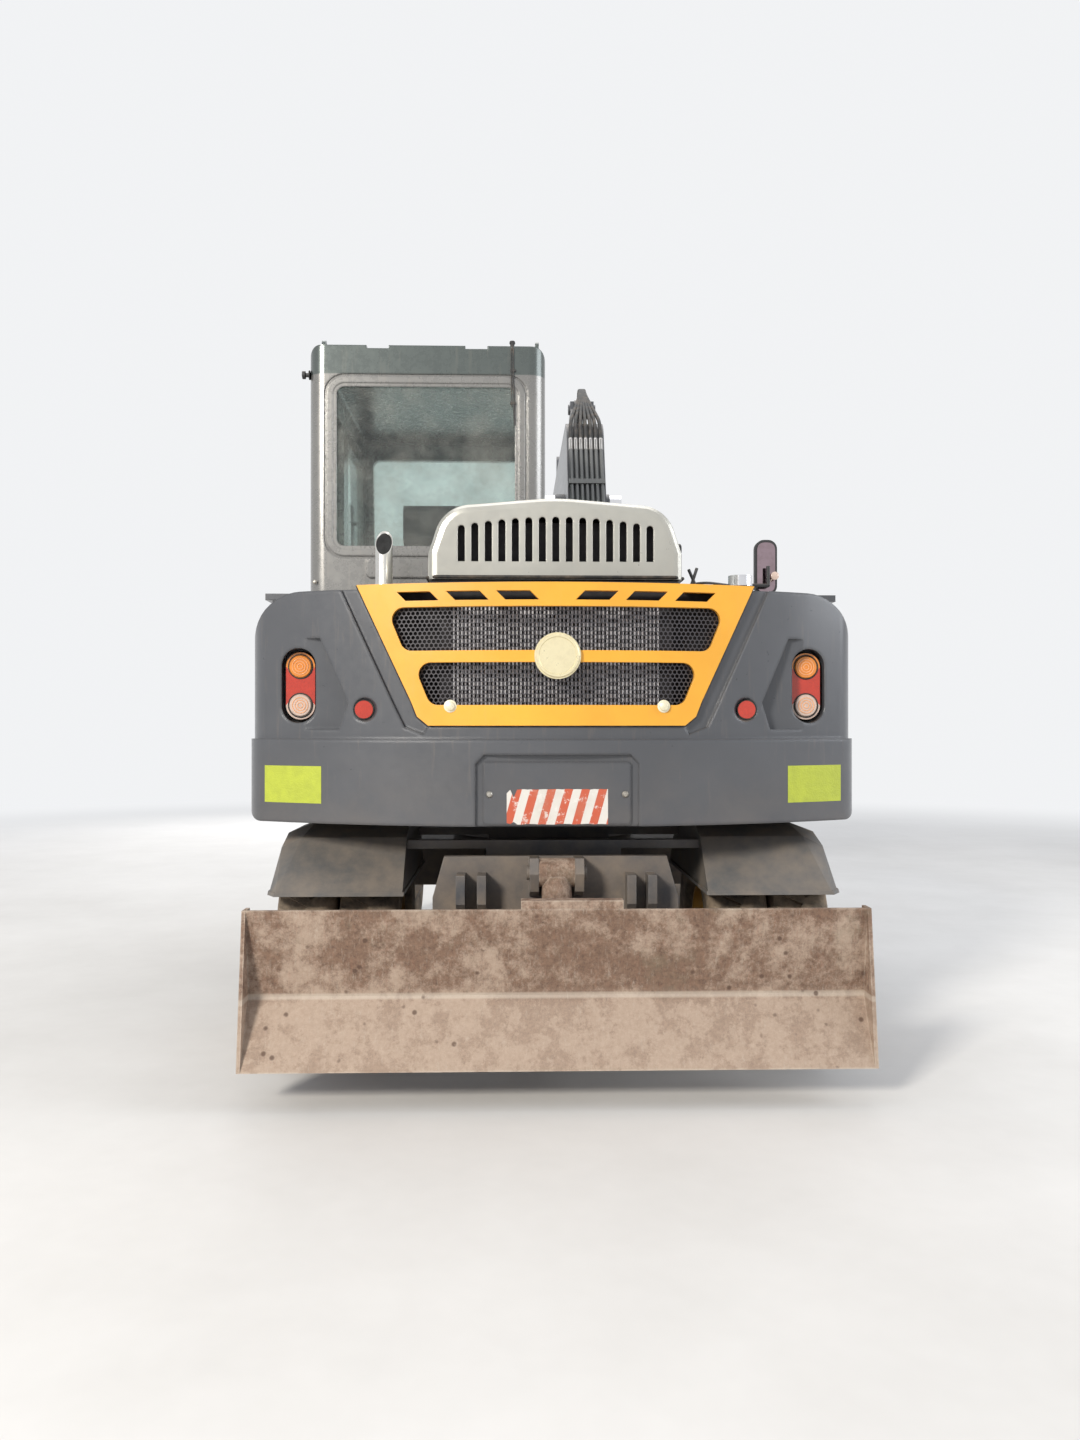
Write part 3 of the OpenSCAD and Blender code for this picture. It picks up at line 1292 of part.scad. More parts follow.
module bucket() {
    half = bucket_w / 2;
    tooth_n = 4;
    color(c_dark) {
        difference() {
            side_plate(boom_x - half, boom_x + half)
                polygon(concat(shell_line(0), [wrist + [-110, -700], wrist + [-170, -400]]));
            side_plate(boom_x - half + 16, boom_x + half - 16)
                polygon(concat(shell_line(14), [wrist + [-400, -900], wrist + [-400, -132]]));
        }
        for (s = [-1, 1]) {
            x = s > 0 ? boom_x + ear_in : boom_x - ear_in - ear_t;
            side_plate(x, x + ear_t)
                union() {
                    link_shape(wrist, bucket_eye, 62, 55);
                    polygon([wrist + [-60, -10], wrist + [320, -20], wrist + [330, -125], wrist + [-130, -125]]);
                }
        }
        x_bar(wrist, pin_r, boom_x - ear_in - ear_t - 8, boom_x + ear_in + ear_t + 8);
        for (i = [0:tooth_n - 1]) {
            x = boom_x - half + 32 + i * (bucket_w - 64) / (tooth_n - 1);
            side_plate(x - 27, x + 27)
                polygon([wrist + [-60, -860], wrist + [-20, -905], wrist + [-105, -bucket_r + 5],
                    wrist + [-112, -bucket_r]]);
        }
    }
}

module rocker() {
    color(c_dark) for (s = [-1, 1]) {
        x = s > 0 ? boom_x + rocker_in : boom_x - rocker_in - rocker_t;
        difference() {
            side_plate(x, x + rocker_t) link_shape(rocker_pin, link_pin, 46, 42);
            x_bar(rocker_pin, 26 + pin_gap, x - 5, x + rocker_t + 5);
        }
        x0 = s > 0 ? boom_x + link_out - 22 : boom_x - rocker_in - 1;
        x_bar(link_pin, 26, x0, x0 + 26);
    }
}

module bucket_link() {
    color(c_dark) difference() {
        union() {
            for (s = [-1, 1]) {
                x = s > 0 ? boom_x + link_out - 20 : boom_x - link_out;
                side_plate(x, x + 20) difference() {
                    link_shape(link_pin, bucket_eye, 42, 46);
                    translate(along(link_pin, bucket_eye, 0.5, link_waist[0])) circle(link_waist[1]);
                }
            }
            x_bar(bucket_eye, 46, boom_x - ear_in + 4, boom_x + ear_in - 4);
        }
        x_bar(link_pin, 26 + pin_gap, boom_x - 120, boom_x + 120);
    }
}

module bucket_barrel() {
    color(c_yellow) translate([boom_x, 0, 0]) aim(curl_base, link_pin)
        difference() {
            union() {
                translate([0, 0, 36]) cylinder(r = curl_tube_r, h = 654);
                translate([0, 0, 640]) cylinder(r = curl_tube_r + 6, h = 60);
                rotate([0, 90, 0]) cylinder(r = 46, h = 90, center = true);
            }
            translate([0, 0, 60]) cylinder(r = curl_rod_r + pin_gap, h = 700);
            rotate([0, 90, 0]) cylinder(r = 26 + pin_gap, h = 100, center = true);
        }
}

module bucket_rod() {
    reach = norm(link_pin - curl_base);
    color(c_chrome) translate([boom_x, 0, 0]) aim(curl_base, link_pin)
        hydraulic_rod(370, reach, curl_rod_r, 40, 76);
}

place() chassis_frame();
place() rear_axle();
place() front_axle();
place() driveline();
place() mudguards();
place() side_steps();
place() knuckle_left();
place() knuckle_right();
place() tie_rod();
place() steer_rod();
place() wheel_front(-1) tyre();  // tyre_front_left
place() rim_front(-1);  // rim_front_left
place() wheel_front(1) tyre();  // tyre_front_right
place() rim_front(1);  // rim_front_right
place() wheels_rear(-1) tyre();  // tyres_rear_left
place() rims_rear(-1);  // rims_rear_left
place() wheels_rear(1) tyre();  // tyres_rear_right
place() rims_rear(1);  // rims_rear_right
place() dozer_blade();
place() blade_barrel();
place() blade_rod();
place() slew_race();
place() upper_frame();
place() counterweight();
place() grille_panel();
place() grille_mesh();
place() tail_lamps();
place() number_plate();
place() engine_block();
place() top_cover();
place() engine_hood();
place() cover_side(-1);  // cover_left
place() cover_side(1);  // cover_right
place() side_tank();
place() exhaust_pipe();
place() cab_frame();
place() cab_glass();
place() cab_door();
place() door_glass();
place() operator_seat();
place() controls();
place() mirrors();
place() boom();
place() boom_pipes();
place() boom_barrels();
place() boom_rods();
place() arm();
place() arm_barrel();
place() arm_rod();
place() bucket();
place() bucket_barrel();
place() bucket_rod();
place() rocker();
place() bucket_link();
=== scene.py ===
"""Looks of the wheeled excavator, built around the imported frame.

The frame is in metres. Pieces are drawn in millimetres about the slew axis, as in the part's source.
"""
import json
import math
import random

import bmesh
import bpy
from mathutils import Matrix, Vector
from mathutils.bvhtree import BVHTree


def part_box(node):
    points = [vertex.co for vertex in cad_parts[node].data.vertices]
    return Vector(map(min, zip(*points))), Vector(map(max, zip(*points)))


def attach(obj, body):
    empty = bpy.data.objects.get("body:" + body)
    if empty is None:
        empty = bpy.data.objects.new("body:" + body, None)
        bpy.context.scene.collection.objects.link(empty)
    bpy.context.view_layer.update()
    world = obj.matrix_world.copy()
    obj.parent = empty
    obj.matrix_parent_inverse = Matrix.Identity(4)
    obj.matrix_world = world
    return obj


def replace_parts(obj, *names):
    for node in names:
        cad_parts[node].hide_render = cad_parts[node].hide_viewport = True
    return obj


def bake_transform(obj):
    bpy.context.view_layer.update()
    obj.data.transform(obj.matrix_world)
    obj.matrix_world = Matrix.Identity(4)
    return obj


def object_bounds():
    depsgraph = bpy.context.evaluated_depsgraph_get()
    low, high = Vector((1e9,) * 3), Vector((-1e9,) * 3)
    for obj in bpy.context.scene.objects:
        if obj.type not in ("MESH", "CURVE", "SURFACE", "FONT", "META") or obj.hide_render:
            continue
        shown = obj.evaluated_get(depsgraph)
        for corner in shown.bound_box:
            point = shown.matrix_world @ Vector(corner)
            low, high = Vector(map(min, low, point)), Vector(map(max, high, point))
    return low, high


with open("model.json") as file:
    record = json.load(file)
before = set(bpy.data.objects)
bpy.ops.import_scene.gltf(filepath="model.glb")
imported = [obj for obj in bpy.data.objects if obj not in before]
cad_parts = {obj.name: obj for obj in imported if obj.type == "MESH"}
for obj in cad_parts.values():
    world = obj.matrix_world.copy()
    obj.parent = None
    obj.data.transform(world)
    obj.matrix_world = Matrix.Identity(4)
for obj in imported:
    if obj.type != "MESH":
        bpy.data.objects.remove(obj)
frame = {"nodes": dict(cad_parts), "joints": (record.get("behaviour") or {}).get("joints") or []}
CAD_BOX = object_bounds()
NODES = frame["nodes"]
JOINTS = {j["name"]: j for j in frame["joints"]}
AXIS_Y = JOINTS["slew"]["pos_m"][1]
MM = 0.001
SIDES = (-1, 1)
CORNERS = ((-1, -1), (1, -1), (1, 1), (-1, 1))


def at(x, y, z):
    """A point of the frame, from millimetres about the slew axis."""
    return Vector((x * MM, y * MM + AXIS_Y, z * MM))


def drawn(point):
    """Millimetres about the slew axis, from a point of the frame."""
    return point[0] / MM, (point[1] - AXIS_Y) / MM, point[2] / MM


def box_of(node):
    """A node's lowest and highest corner, in millimetres about the slew axis."""
    return [drawn(corner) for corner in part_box(node)]


# Materials, with lengths in metres

DUST = (0.36, 0.27, 0.185)
BARE_METAL = (0.25, 0.24, 0.23)
STRIPE_PITCH = 0.056
STRIPE_SLANT = 0.28
BLADE_BEND_Z = 0.33
ROOF_BAND_Z = 2.688


class Shade:
    """A material's node tree, with short calls for the nodes used here."""

    def __init__(self, name):
        self.mat = bpy.data.materials.new(name)
        self.mat.use_nodes = True
        self.tree = self.mat.node_tree
        self.bsdf = self.tree.nodes["Principled BSDF"]
        self.surface = self.tree.nodes["Material Output"].inputs["Surface"]
        self.coord = self.node("ShaderNodeTexCoord").outputs["Object"]

    def node(self, kind, **values):
        n = self.tree.nodes.new(kind)
        for key, value in values.items():
            setattr(n, key, value)
        return n

    def link(self, a, b):
        self.tree.links.new(a, b)

    def put(self, socket, value):
        if isinstance(value, bpy.types.NodeSocket):
            self.link(value, socket)
        else:
            socket.default_value = value

    def noise(self, scale, detail=4.0, rough=0.55, warp=0.0, stretch=None):
        n = self.node("ShaderNodeTexNoise")
        n.inputs["Scale"].default_value = scale
        n.inputs["Detail"].default_value = detail
        n.inputs["Roughness"].default_value = rough
        n.inputs["Distortion"].default_value = warp
        source = self.coord
        if stretch:
            m = self.node("ShaderNodeMapping")
            m.inputs["Scale"].default_value = stretch
            self.link(self.coord, m.inputs["Vector"])
            source = m.outputs["Vector"]
        self.link(source, n.inputs["Vector"])
        return n.outputs["Fac"]

    def voronoi(self, scale):
        n = self.node("ShaderNodeTexVoronoi")
        n.inputs["Scale"].default_value = scale
        self.link(self.coord, n.inputs["Vector"])
        return n.outputs["Distance"]

    def ramp(self, fac, low, high, to=(0.0, 1.0), curve="LINEAR"):
        n = self.node("ShaderNodeMapRange", interpolation_type=curve)
        n.inputs["From Min"].default_value = low
        n.inputs["From Max"].default_value = high
        n.inputs["To Min"].default_value = to[0]
        n.inputs["To Max"].default_value = to[1]
        self.put(n.inputs["Value"], fac)
        return n.outputs["Result"]

    def math(self, op, a, b=0.0):
        n = self.node("ShaderNodeMath", operation=op, use_clamp=True)
        self.put(n.inputs[0], a)
        self.put(n.inputs[1], b)
        return n.outputs[0]

    def mix(self, fac, a, b):
        n = self.node("ShaderNodeMix", data_type="RGBA")
        self.put(n.inputs["Factor"], fac)
        for key, value in (("A", a), ("B", b)):
            socket = [s for s in n.inputs if s.name == key and s.type == "RGBA"][0]
            if isinstance(value, bpy.types.NodeSocket):
                self.link(value, socket)
            else:
                socket.default_value = (*value, 1.0)
        return [s for s in n.outputs if s.type == "RGBA"][0]

    def mottle(self, low, high, scale=26):
        """Two tones in soft patches."""
        return self.mix(self.ramp(self.noise(scale, 5, 0.7), 0.3, 0.72), low, high)

    def height(self):
        s = self.node("ShaderNodeSeparateXYZ")
        self.link(self.coord, s.inputs[0])
        return s.outputs["Z"]

    def upward(self):
        g = self.node("ShaderNodeNewGeometry")
        s = self.node("ShaderNodeSeparateXYZ")
        self.link(g.outputs["Normal"], s.inputs[0])
        return s.outputs["Z"]

    def edges(self, radius):
        """1 on sharp edges, 0 on flats, by how far a rounded normal leaves the true one."""
        b = self.node("ShaderNodeBevel", samples=3)
        b.inputs["Radius"].default_value = radius
        g = self.node("ShaderNodeNewGeometry")
        d = self.node("ShaderNodeVectorMath", operation="DOT_PRODUCT")
        self.link(b.outputs["Normal"], d.inputs[0])
        self.link(g.outputs["Normal"], d.inputs[1])
        return self.ramp(d.outputs["Value"], 0.985, 0.9)

    def rounded_edges(self, radius):
        """A normal that turns gently over edges, as thick paint and pressed sheet do."""
        b = self.node("ShaderNodeBevel", samples=4)
        b.inputs["Radius"].default_value = radius
        return b.outputs["Normal"]

    def bump(self, *layers, normal=None):
        """Each layer is (height, depth in metres)."""
        for height, depth in layers:
            n = self.node("ShaderNodeBump")
            n.inputs["Strength"].default_value = 1.0
            n.inputs["Distance"].default_value = depth
            self.link(height, n.inputs["Height"])
            if normal is not None:
                self.link(normal, n.inputs["Normal"])
            normal = n.outputs["Normal"]
        self.link(normal, self.bsdf.inputs["Normal"])

    def done(self, color, rough, metal=0.0, **fixed):
        base = color if isinstance(color, bpy.types.NodeSocket) else (*color, 1.0)
        self.put(self.bsdf.inputs["Base Color"], base)
        self.put(self.bsdf.inputs["Roughness"], rough)
        self.put(self.bsdf.inputs["Metallic"], metal)
        for key, value in fixed.items():
            self.bsdf.inputs[key.replace("_", " ")].default_value = value
        return self.mat


def pick_shader(tree, share, plain, other, socket):
    """The socket gets the other shader for its share, and the plain one for the rest."""
    n = tree.nodes.new("ShaderNodeMixShader")
    for source, entry in zip((share, plain, other), n.inputs):
        tree.links.new(source, entry)
    tree.links.new(n.outputs[0], socket)


def paint(name, color, rough, flake, dust, floor_dust, wear, coat, worn=BARE_METAL, soft=0.0, band=None,
          smooth=1.0):
    """Machine paint: slight tone drift, dust on ledges and low down, runs, fine scratches and rubbed edges.

    soft is the radius that the light sees on edges, band is (height, colour above it).
    """
    s = Shade(name)
    big = s.noise(1.7, 5, 0.6)
    mid = s.noise(14, 6, 0.62)
    fine = s.noise(240, 3, 0.6)
    streak = s.noise(9, 5, 0.6, 0.4, (6.0, 6.0, 0.55))
    tone = s.mix(s.ramp(big, 0.35, 0.7), [c * 0.88 for c in color], [min(c * 1.12, 1) for c in color])
    if band:
        tone = s.mix(s.ramp(s.height(), band[0] - 0.002, band[0] + 0.002), tone, band[1])
    ledge = s.math("MULTIPLY", s.ramp(s.upward(), 0.35, 0.95), s.ramp(mid, 0.3, 0.75))
    low = s.math("MULTIPLY", s.ramp(s.height(), 1.15, 0.35), s.ramp(s.noise(5, 7, 0.68), 0.3, 0.68))
    runs = s.math("MULTIPLY", s.ramp(streak, 0.56, 0.8), 0.35 * dust)
    dirt = s.math("MAXIMUM", s.math("MULTIPLY", ledge, dust), s.math("MULTIPLY", low, floor_dust))
    dirt = s.math("MAXIMUM", dirt, runs)
    dusted = s.mix(dirt, tone, DUST)
    if wear:
        rub = s.math("MULTIPLY", s.edges(0.006), s.ramp(mid, 0.42, 0.62))
        rub = s.math("MULTIPLY", rub, wear)
        dusted = s.mix(rub, dusted, worn)
    shine = s.ramp(s.noise(30, 5, 0.7), 0.2, 0.8, (rough * 0.8, rough * 1.35))
    shine = s.math("ADD", shine, s.math("MULTIPLY", dirt, 0.5))
    s.bump((fine, 0.00012 * smooth), (s.noise(3.5, 2, 0.5), 0.0012 * smooth),
           normal=s.rounded_edges(soft) if soft else None)
    return s.done(dusted, shine, flake, Coat_Weight=coat, Coat_Roughness=0.2)


def plain_plastic(name, color, rough, dust, floor_dust, grain=500):
    """Moulded plastic with dust, pale scuffs and a fine grain."""
    s = Shade(name)
    mid = s.noise(9, 6, 0.65)
    low = s.math("MULTIPLY", s.ramp(s.height(), 1.1, 0.4), s.ramp(mid, 0.32, 0.66))
    ledge = s.math("MULTIPLY", s.ramp(s.upward(), 0.3, 0.95), s.ramp(mid, 0.3, 0.7))
    dirt = s.math("MAXIMUM", s.math("MULTIPLY", low, floor_dust), s.math("MULTIPLY", ledge, dust))
    tone = s.mix(s.ramp(s.noise(2.5), 0.35, 0.7), [c * 0.85 for c in color], [c * 1.15 for c in color])
    scuff = s.ramp(s.noise(40, 6, 0.75, 1.5, (1, 5, 1)), 0.62, 0.75, (0.0, 0.35))
    tone = s.mix(scuff, tone, [min(c * 2.2, 1) for c in color])
    s.bump((s.noise(grain, 2), 0.00015), (mid, 0.0015))
    return s.done(s.mix(dirt, tone, DUST), s.math("ADD", rough, s.math("MULTIPLY", dirt, 0.35)))


def tyre_rubber():
    s = Shade("dusty_rubber")
    mud = s.ramp(s.noise(11, 7, 0.7), 0.28, 0.62)
    base = s.mix(s.ramp(s.noise(60, 4), 0.3, 0.7), (0.028, 0.026, 0.025), (0.05, 0.045, 0.04))
    dried = s.mottle((0.29, 0.215, 0.145), (0.40, 0.31, 0.215))
    s.bump((s.noise(170, 5, 0.7), 0.0006), (s.voronoi(45), 0.0015))
    return s.done(s.mix(s.math("MULTIPLY", mud, 0.86), base, dried), 0.88)


def blade_steel():
    """Old paint gone to rust and dried mud, with drops and scrapes: browner above the bend and paler below,
    partly real and partly painted shade above and painted light below, as the upper panel faces down and the
    lower one faces up; the pale line along the bend is a painted highlight.
    """
    s = Shade("rusty_blade")
    above, below = BLADE_BEND_Z + 0.03, BLADE_BEND_Z - 0.03
    mid = s.noise(7, 12, 0.8)
    fine = s.noise(70, 9, 0.85)
    scrape = s.noise(9, 9, 0.82, 0.6, (16, 3, 1.4))
    rust = s.mix(s.ramp(fine, 0.36, 0.62), (0.10, 0.060, 0.040), (0.25, 0.155, 0.105))
    mud = s.mix(s.ramp(fine, 0.3, 0.7), (0.31, 0.225, 0.165), (0.47, 0.365, 0.285))
    lift = s.ramp(s.height(), below, above)
    # More mud below the bend: partly real mud, partly painted light on the lower panel, leaving the upper
    # panel darker as painted shade.
    cover = s.math("ADD", s.ramp(mid, 0.46, 0.60), s.ramp(s.height(), above, below, (0.0, 0.62)))
    color = s.mix(cover, rust, mud)
    red = s.math("MULTIPLY", s.ramp(scrape, 0.55, 0.72), s.math("MULTIPLY", lift, 0.55))
    color = s.mix(red, color, (0.30, 0.125, 0.075))
    green = s.math("MULTIPLY", s.ramp(s.noise(3.1, 5, 0.7), 0.56, 0.7), s.math("MULTIPLY", lift, 0.4))
    color = s.mix(green, color, (0.16, 0.15, 0.10))
    pale = s.math("MULTIPLY", s.ramp(s.noise(24, 9, 0.85, 0.3, (5, 1, 1)), 0.55, 0.68), 0.6)
    color = s.mix(pale, color, (0.46, 0.40, 0.33))
    # Pale line along the bend: a painted highlight.
    bend = s.math("MULTIPLY", s.ramp(s.height(), BLADE_BEND_Z - 0.012, BLADE_BEND_Z - 0.006),
                  s.ramp(s.height(), BLADE_BEND_Z + 0.012, BLADE_BEND_Z + 0.006))
    color = s.mix(s.math("MULTIPLY", bend, 0.5), color, (0.55, 0.48, 0.40))
    spots = s.math("MULTIPLY", s.ramp(s.voronoi(17), 0.17, 0.09), s.ramp(s.noise(5), 0.5, 0.53))
    color = s.mix(s.math("MULTIPLY", spots, 0.8), color, (0.085, 0.045, 0.03))
    bare = s.math("MULTIPLY", s.edges(0.008), s.ramp(mid, 0.38, 0.6))
    color = s.mix(s.math("MULTIPLY", bare, 0.8), color, (0.52, 0.45, 0.37))
    s.bump((fine, 0.0011), (mid, 0.004), (scrape, 0.0012))
    return s.done(color, s.ramp(fine, 0.3, 0.7, (0.62, 0.9)), 0.1)


def steel(name, color, rough, grime, metal=1.0):
    s = Shade(name)
    n = s.noise(22, 6, 0.7)
    dirt = s.math("MULTIPLY", s.ramp(n, 0.45, 0.72), grime)
    s.bump((s.noise(300, 3), 0.0001))
    shine = s.ramp(n, 0.25, 0.75, (rough * 0.7, rough * 1.6))
    return s.done(s.mix(dirt, color, (0.12, 0.09, 0.065)), shine, metal)


def rubber(name, color, rough):
    s = Shade(name)
    dust = s.math("MULTIPLY", s.ramp(s.noise(25, 5, 0.65), 0.45, 0.8), 0.3)
    s.bump((s.noise(350, 3), 0.00015))
    return s.done(s.mix(dust, color, DUST), rough)


def glass(name, tint, haze):
    """Clear glass under a film of dust; haze is the film's share where it is thickest."""
    s = Shade(name)
    dirty = s.ramp(s.noise(5, 6, 0.7), 0.4, 0.75, (0.02, haze))
    film = s.node("ShaderNodeBsdfDiffuse")
    film.inputs["Color"].default_value = (0.42, 0.41, 0.37, 1)
    pick_shader(s.tree, dirty, s.bsdf.outputs[0], film.outputs[0], s.surface)
    return s.done(tint, 0.03, 0.0, Transmission_Weight=1.0, IOR=1.45)


def lens(name, color, rough=0.12):
    s = Shade(name)
    tone = s.mix(s.ramp(s.noise(30, 4), 0.3, 0.8), [c * 0.8 for c in color], color)
    s.bump((s.voronoi(160), 0.0006))
    return s.done(tone, rough, 0.0, Coat_Weight=0.6, Coat_Roughness=0.05)


def fabric(name, color):
    s = Shade(name)
    weave = s.node("ShaderNodeTexWave", bands_direction="DIAGONAL")
    weave.inputs["Scale"].default_value = 160
    weave.inputs["Distortion"].default_value = 1.0
    s.link(s.coord, weave.inputs["Vector"])
    tone = s.mix(weave.outputs["Fac"], [c * 0.6 for c in color], [c * 1.3 for c in color])
    s.bump((weave.outputs["Fac"], 0.0006), (s.noise(40), 0.001))
    return s.done(tone, 0.9, 0.0, Sheen_Weight=0.3)


def striped(name):
    """Red and white slanted stripes on a worn reflective sticker."""
    s = Shade(name)
    xyz = s.node("ShaderNodeSeparateXYZ")
    s.link(s.coord, xyz.inputs[0])
    slant = s.node("ShaderNodeMath", operation="MULTIPLY_ADD")
    s.link(xyz.outputs["Z"], slant.inputs[0])
    slant.inputs[1].default_value = -STRIPE_SLANT
    s.link(xyz.outputs["X"], slant.inputs[2])
    turn = s.node("ShaderNodeMath", operation="MULTIPLY")
    s.link(slant.outputs[0], turn.inputs[0])
    turn.inputs[1].default_value = 1 / STRIPE_PITCH
    part = s.node("ShaderNodeMath", operation="FRACT")
    s.link(turn.outputs[0], part.inputs[0])
    stripe = s.ramp(part.outputs[0], 0.49, 0.51)
    chips = s.ramp(s.noise(38, 7, 0.8), 0.57, 0.62)
    color = s.mix(stripe, (0.64, 0.61, 0.56), (0.50, 0.095, 0.045))
    color = s.mix(s.math("MULTIPLY", chips, 0.75), color, (0.72, 0.70, 0.66))
    color = s.mix(s.ramp(s.noise(9, 6), 0.5, 0.8, (0.0, 0.35)), color, DUST)
    s.bump((s.noise(90, 4), 0.0003))
    return s.done(color, 0.35)


MATERIALS = {
    "tail": paint("tail_paint", (0.072, 0.075, 0.083), rough=0.30, flake=0.1, dust=0.35, floor_dust=0.3,
                  wear=0.12, coat=0.45, soft=0.016),
    "dark": paint("dark_grey_paint", (0.072, 0.075, 0.083), rough=0.34, flake=0.1, dust=0.42, floor_dust=0.35,
                  wear=0.3, coat=0.35, soft=0.006),
    "chassis": paint("chassis_paint", (0.060, 0.062, 0.068), rough=0.45, flake=0.0, dust=0.6, floor_dust=0.75,
                     wear=0.6, coat=0.1, soft=0.004),
    "axle": paint("axle_paint", (0.045, 0.045, 0.048), rough=0.5, flake=0.0, dust=0.6, floor_dust=0.85,
                  wear=0.5, coat=0.05),
    "pewter": paint("pewter_metallic", (0.21, 0.205, 0.195), rough=0.26, flake=0.6, dust=0.3, floor_dust=0.2,
                    wear=0.1, coat=0.6, soft=0.010, band=(ROOF_BAND_Z, (0.085, 0.10, 0.095)), smooth=0.3),
    # The hood's paint: the cab's pewter painted lighter, which is painted light on the hood's rear face as it
    # faces up to the sky.
    "pewter_painted_lighter": paint("pewter_metallic_painted_lighter", (0.44, 0.43, 0.385), rough=0.30, flake=0.7, dust=0.3,
                       floor_dust=0.2, wear=0.1, coat=0.6, soft=0.008, smooth=0.3),
    "yellow": paint("yellow_paint", (0.80, 0.375, 0.030), rough=0.33, flake=0.0, dust=0.2, floor_dust=0.3,
                    wear=0.2, coat=0.35, worn=(0.45, 0.32, 0.16), soft=0.003),
    "rim": paint("rim_paint", (0.62, 0.33, 0.05), rough=0.45, flake=0.0, dust=0.5, floor_dust=0.8,
                 wear=0.4, coat=0.1),
    "black": paint("black_paint", (0.018, 0.018, 0.019), rough=0.45, flake=0.0, dust=0.45, floor_dust=0.5,
                   wear=0.3, coat=0.1),
    "pipework": paint("pipe_paint", (0.115, 0.118, 0.115), rough=0.32, flake=0.2, dust=0.35, floor_dust=0.0,
                      wear=0.3, coat=0.3),
    "mesh": paint("mesh_paint", (0.052, 0.048, 0.054), rough=0.32, flake=0.2, dust=0.1, floor_dust=0.0,
                  wear=0.0, coat=0.3),
    # Near-black sheet behind the radiator core, the grille openings and the hood's slots: painted shade.
    "painted_shade_black": paint("painted_shade_plastic", (0.012, 0.010, 0.012), rough=0.7, flake=0.0, dust=0.1, floor_dust=0.0,
                    wear=0.0, coat=0.0),
    "soot": paint("exhaust_soot", (0.008, 0.008, 0.008), rough=0.8, flake=0.0, dust=0.0, floor_dust=0.0,
                  wear=0.0, coat=0.0),
    "fender": plain_plastic("fender_plastic", (0.085, 0.086, 0.086), rough=0.45, dust=0.55, floor_dust=0.5,
                            grain=260),
    "plastic": plain_plastic("black_plastic", (0.02, 0.02, 0.021), rough=0.5, dust=0.25, floor_dust=0.4),
    "tyre": tyre_rubber(),
    "blade": blade_steel(),
    "bucket": steel("worn_bucket", (0.16, 0.135, 0.11), rough=0.42, grime=0.7, metal=0.75),
    "chrome": steel("rod_chrome", (0.75, 0.75, 0.77), rough=0.12, grime=0.12),
    "steel": steel("bright_steel", (0.46, 0.45, 0.44), rough=0.34, grime=0.45),
    "pipe": steel("exhaust_steel", (0.62, 0.61, 0.58), rough=0.3, grime=0.3),
    "cast": steel("engine_iron", (0.10, 0.10, 0.10), rough=0.55, grime=0.6, metal=0.4),
    "core": steel("radiator_core", (0.70, 0.69, 0.71), rough=0.5, grime=0.35, metal=0.4),
    "bolt": steel("zinc_bolt", (0.42, 0.40, 0.36), rough=0.4, grime=0.6),
    "cream": steel("pale_bolt", (0.80, 0.74, 0.55), rough=0.35, grime=0.25, metal=0.35),
    "pale_gold": steel("pale_gold_plate", (0.78, 0.70, 0.46), rough=0.3, grime=0.25, metal=0.6),
    "mirror": steel("mirror_film", (0.36, 0.27, 0.30), rough=0.08, grime=0.35),
    "hose": rubber("hose_rubber", (0.022, 0.022, 0.022), rough=0.6),
    "seal": rubber("seal_rubber", (0.012, 0.012, 0.012), rough=0.7),
    "glass": glass("window_glass", (0.74, 0.83, 0.80), haze=0.26),
    "seat": fabric("seat_cloth", (0.035, 0.036, 0.04)),
    "amber": lens("amber_lens", (0.72, 0.24, 0.03)),
    "red": lens("red_lens", (0.50, 0.035, 0.015)),
    "clear": lens("clear_lens", (0.62, 0.47, 0.39)),
    "lens_line": lens("lens_rib", (0.86, 0.42, 0.20)),
    "sticker": lens("label_film", (0.44, 0.50, 0.03), rough=0.45),
    "stripes": striped("red_white_film"),
}

NODE_LOOKS = {
    "tail": "counterweight number_plate",
    "dark": "upper_frame top_cover cover_left cover_right side_tank boom arm boom_barrels "
            "arm_barrel bucket_barrel",
    "chassis": "chassis_frame side_steps",
    "axle": "rear_axle front_axle driveline knuckle_left knuckle_right",
    "pewter": "cab_frame cab_door",
    # The hood takes the pewter painted lighter: painted light.
    "pewter_painted_lighter": "engine_hood",
    "yellow": "grille_panel",
    "rim": "rim_front_left rim_front_right rims_rear_left rims_rear_right",
    "fender": "mudguards",
    "plastic": "controls mirrors",
    "tyre": "tyre_front_left tyre_front_right tyres_rear_left tyres_rear_right",
    "blade": "dozer_blade blade_barrel",
    "bucket": "bucket rocker bucket_link",
    "chrome": "steer_rod blade_rod boom_rods arm_rod bucket_rod",
    "steel": "tie_rod slew_race",
    "cast": "engine_block",
    "pipework": "boom_pipes",
    "glass": "cab_glass door_glass",
    "seat": "operator_seat",
    "red": "tail_lamps",
}

for look, names in NODE_LOOKS.items():
    for node_name in names.split():
        NODES[node_name].data.materials.clear()
        NODES[node_name].data.materials.append(MATERIALS[look])


# Shapes

BEHIND_Y = drawn(CAD_BOX[0])[1] - 100
TAIL_R = 1750
TAIL_CURVE = 2200
FILM_GAP = 0.05


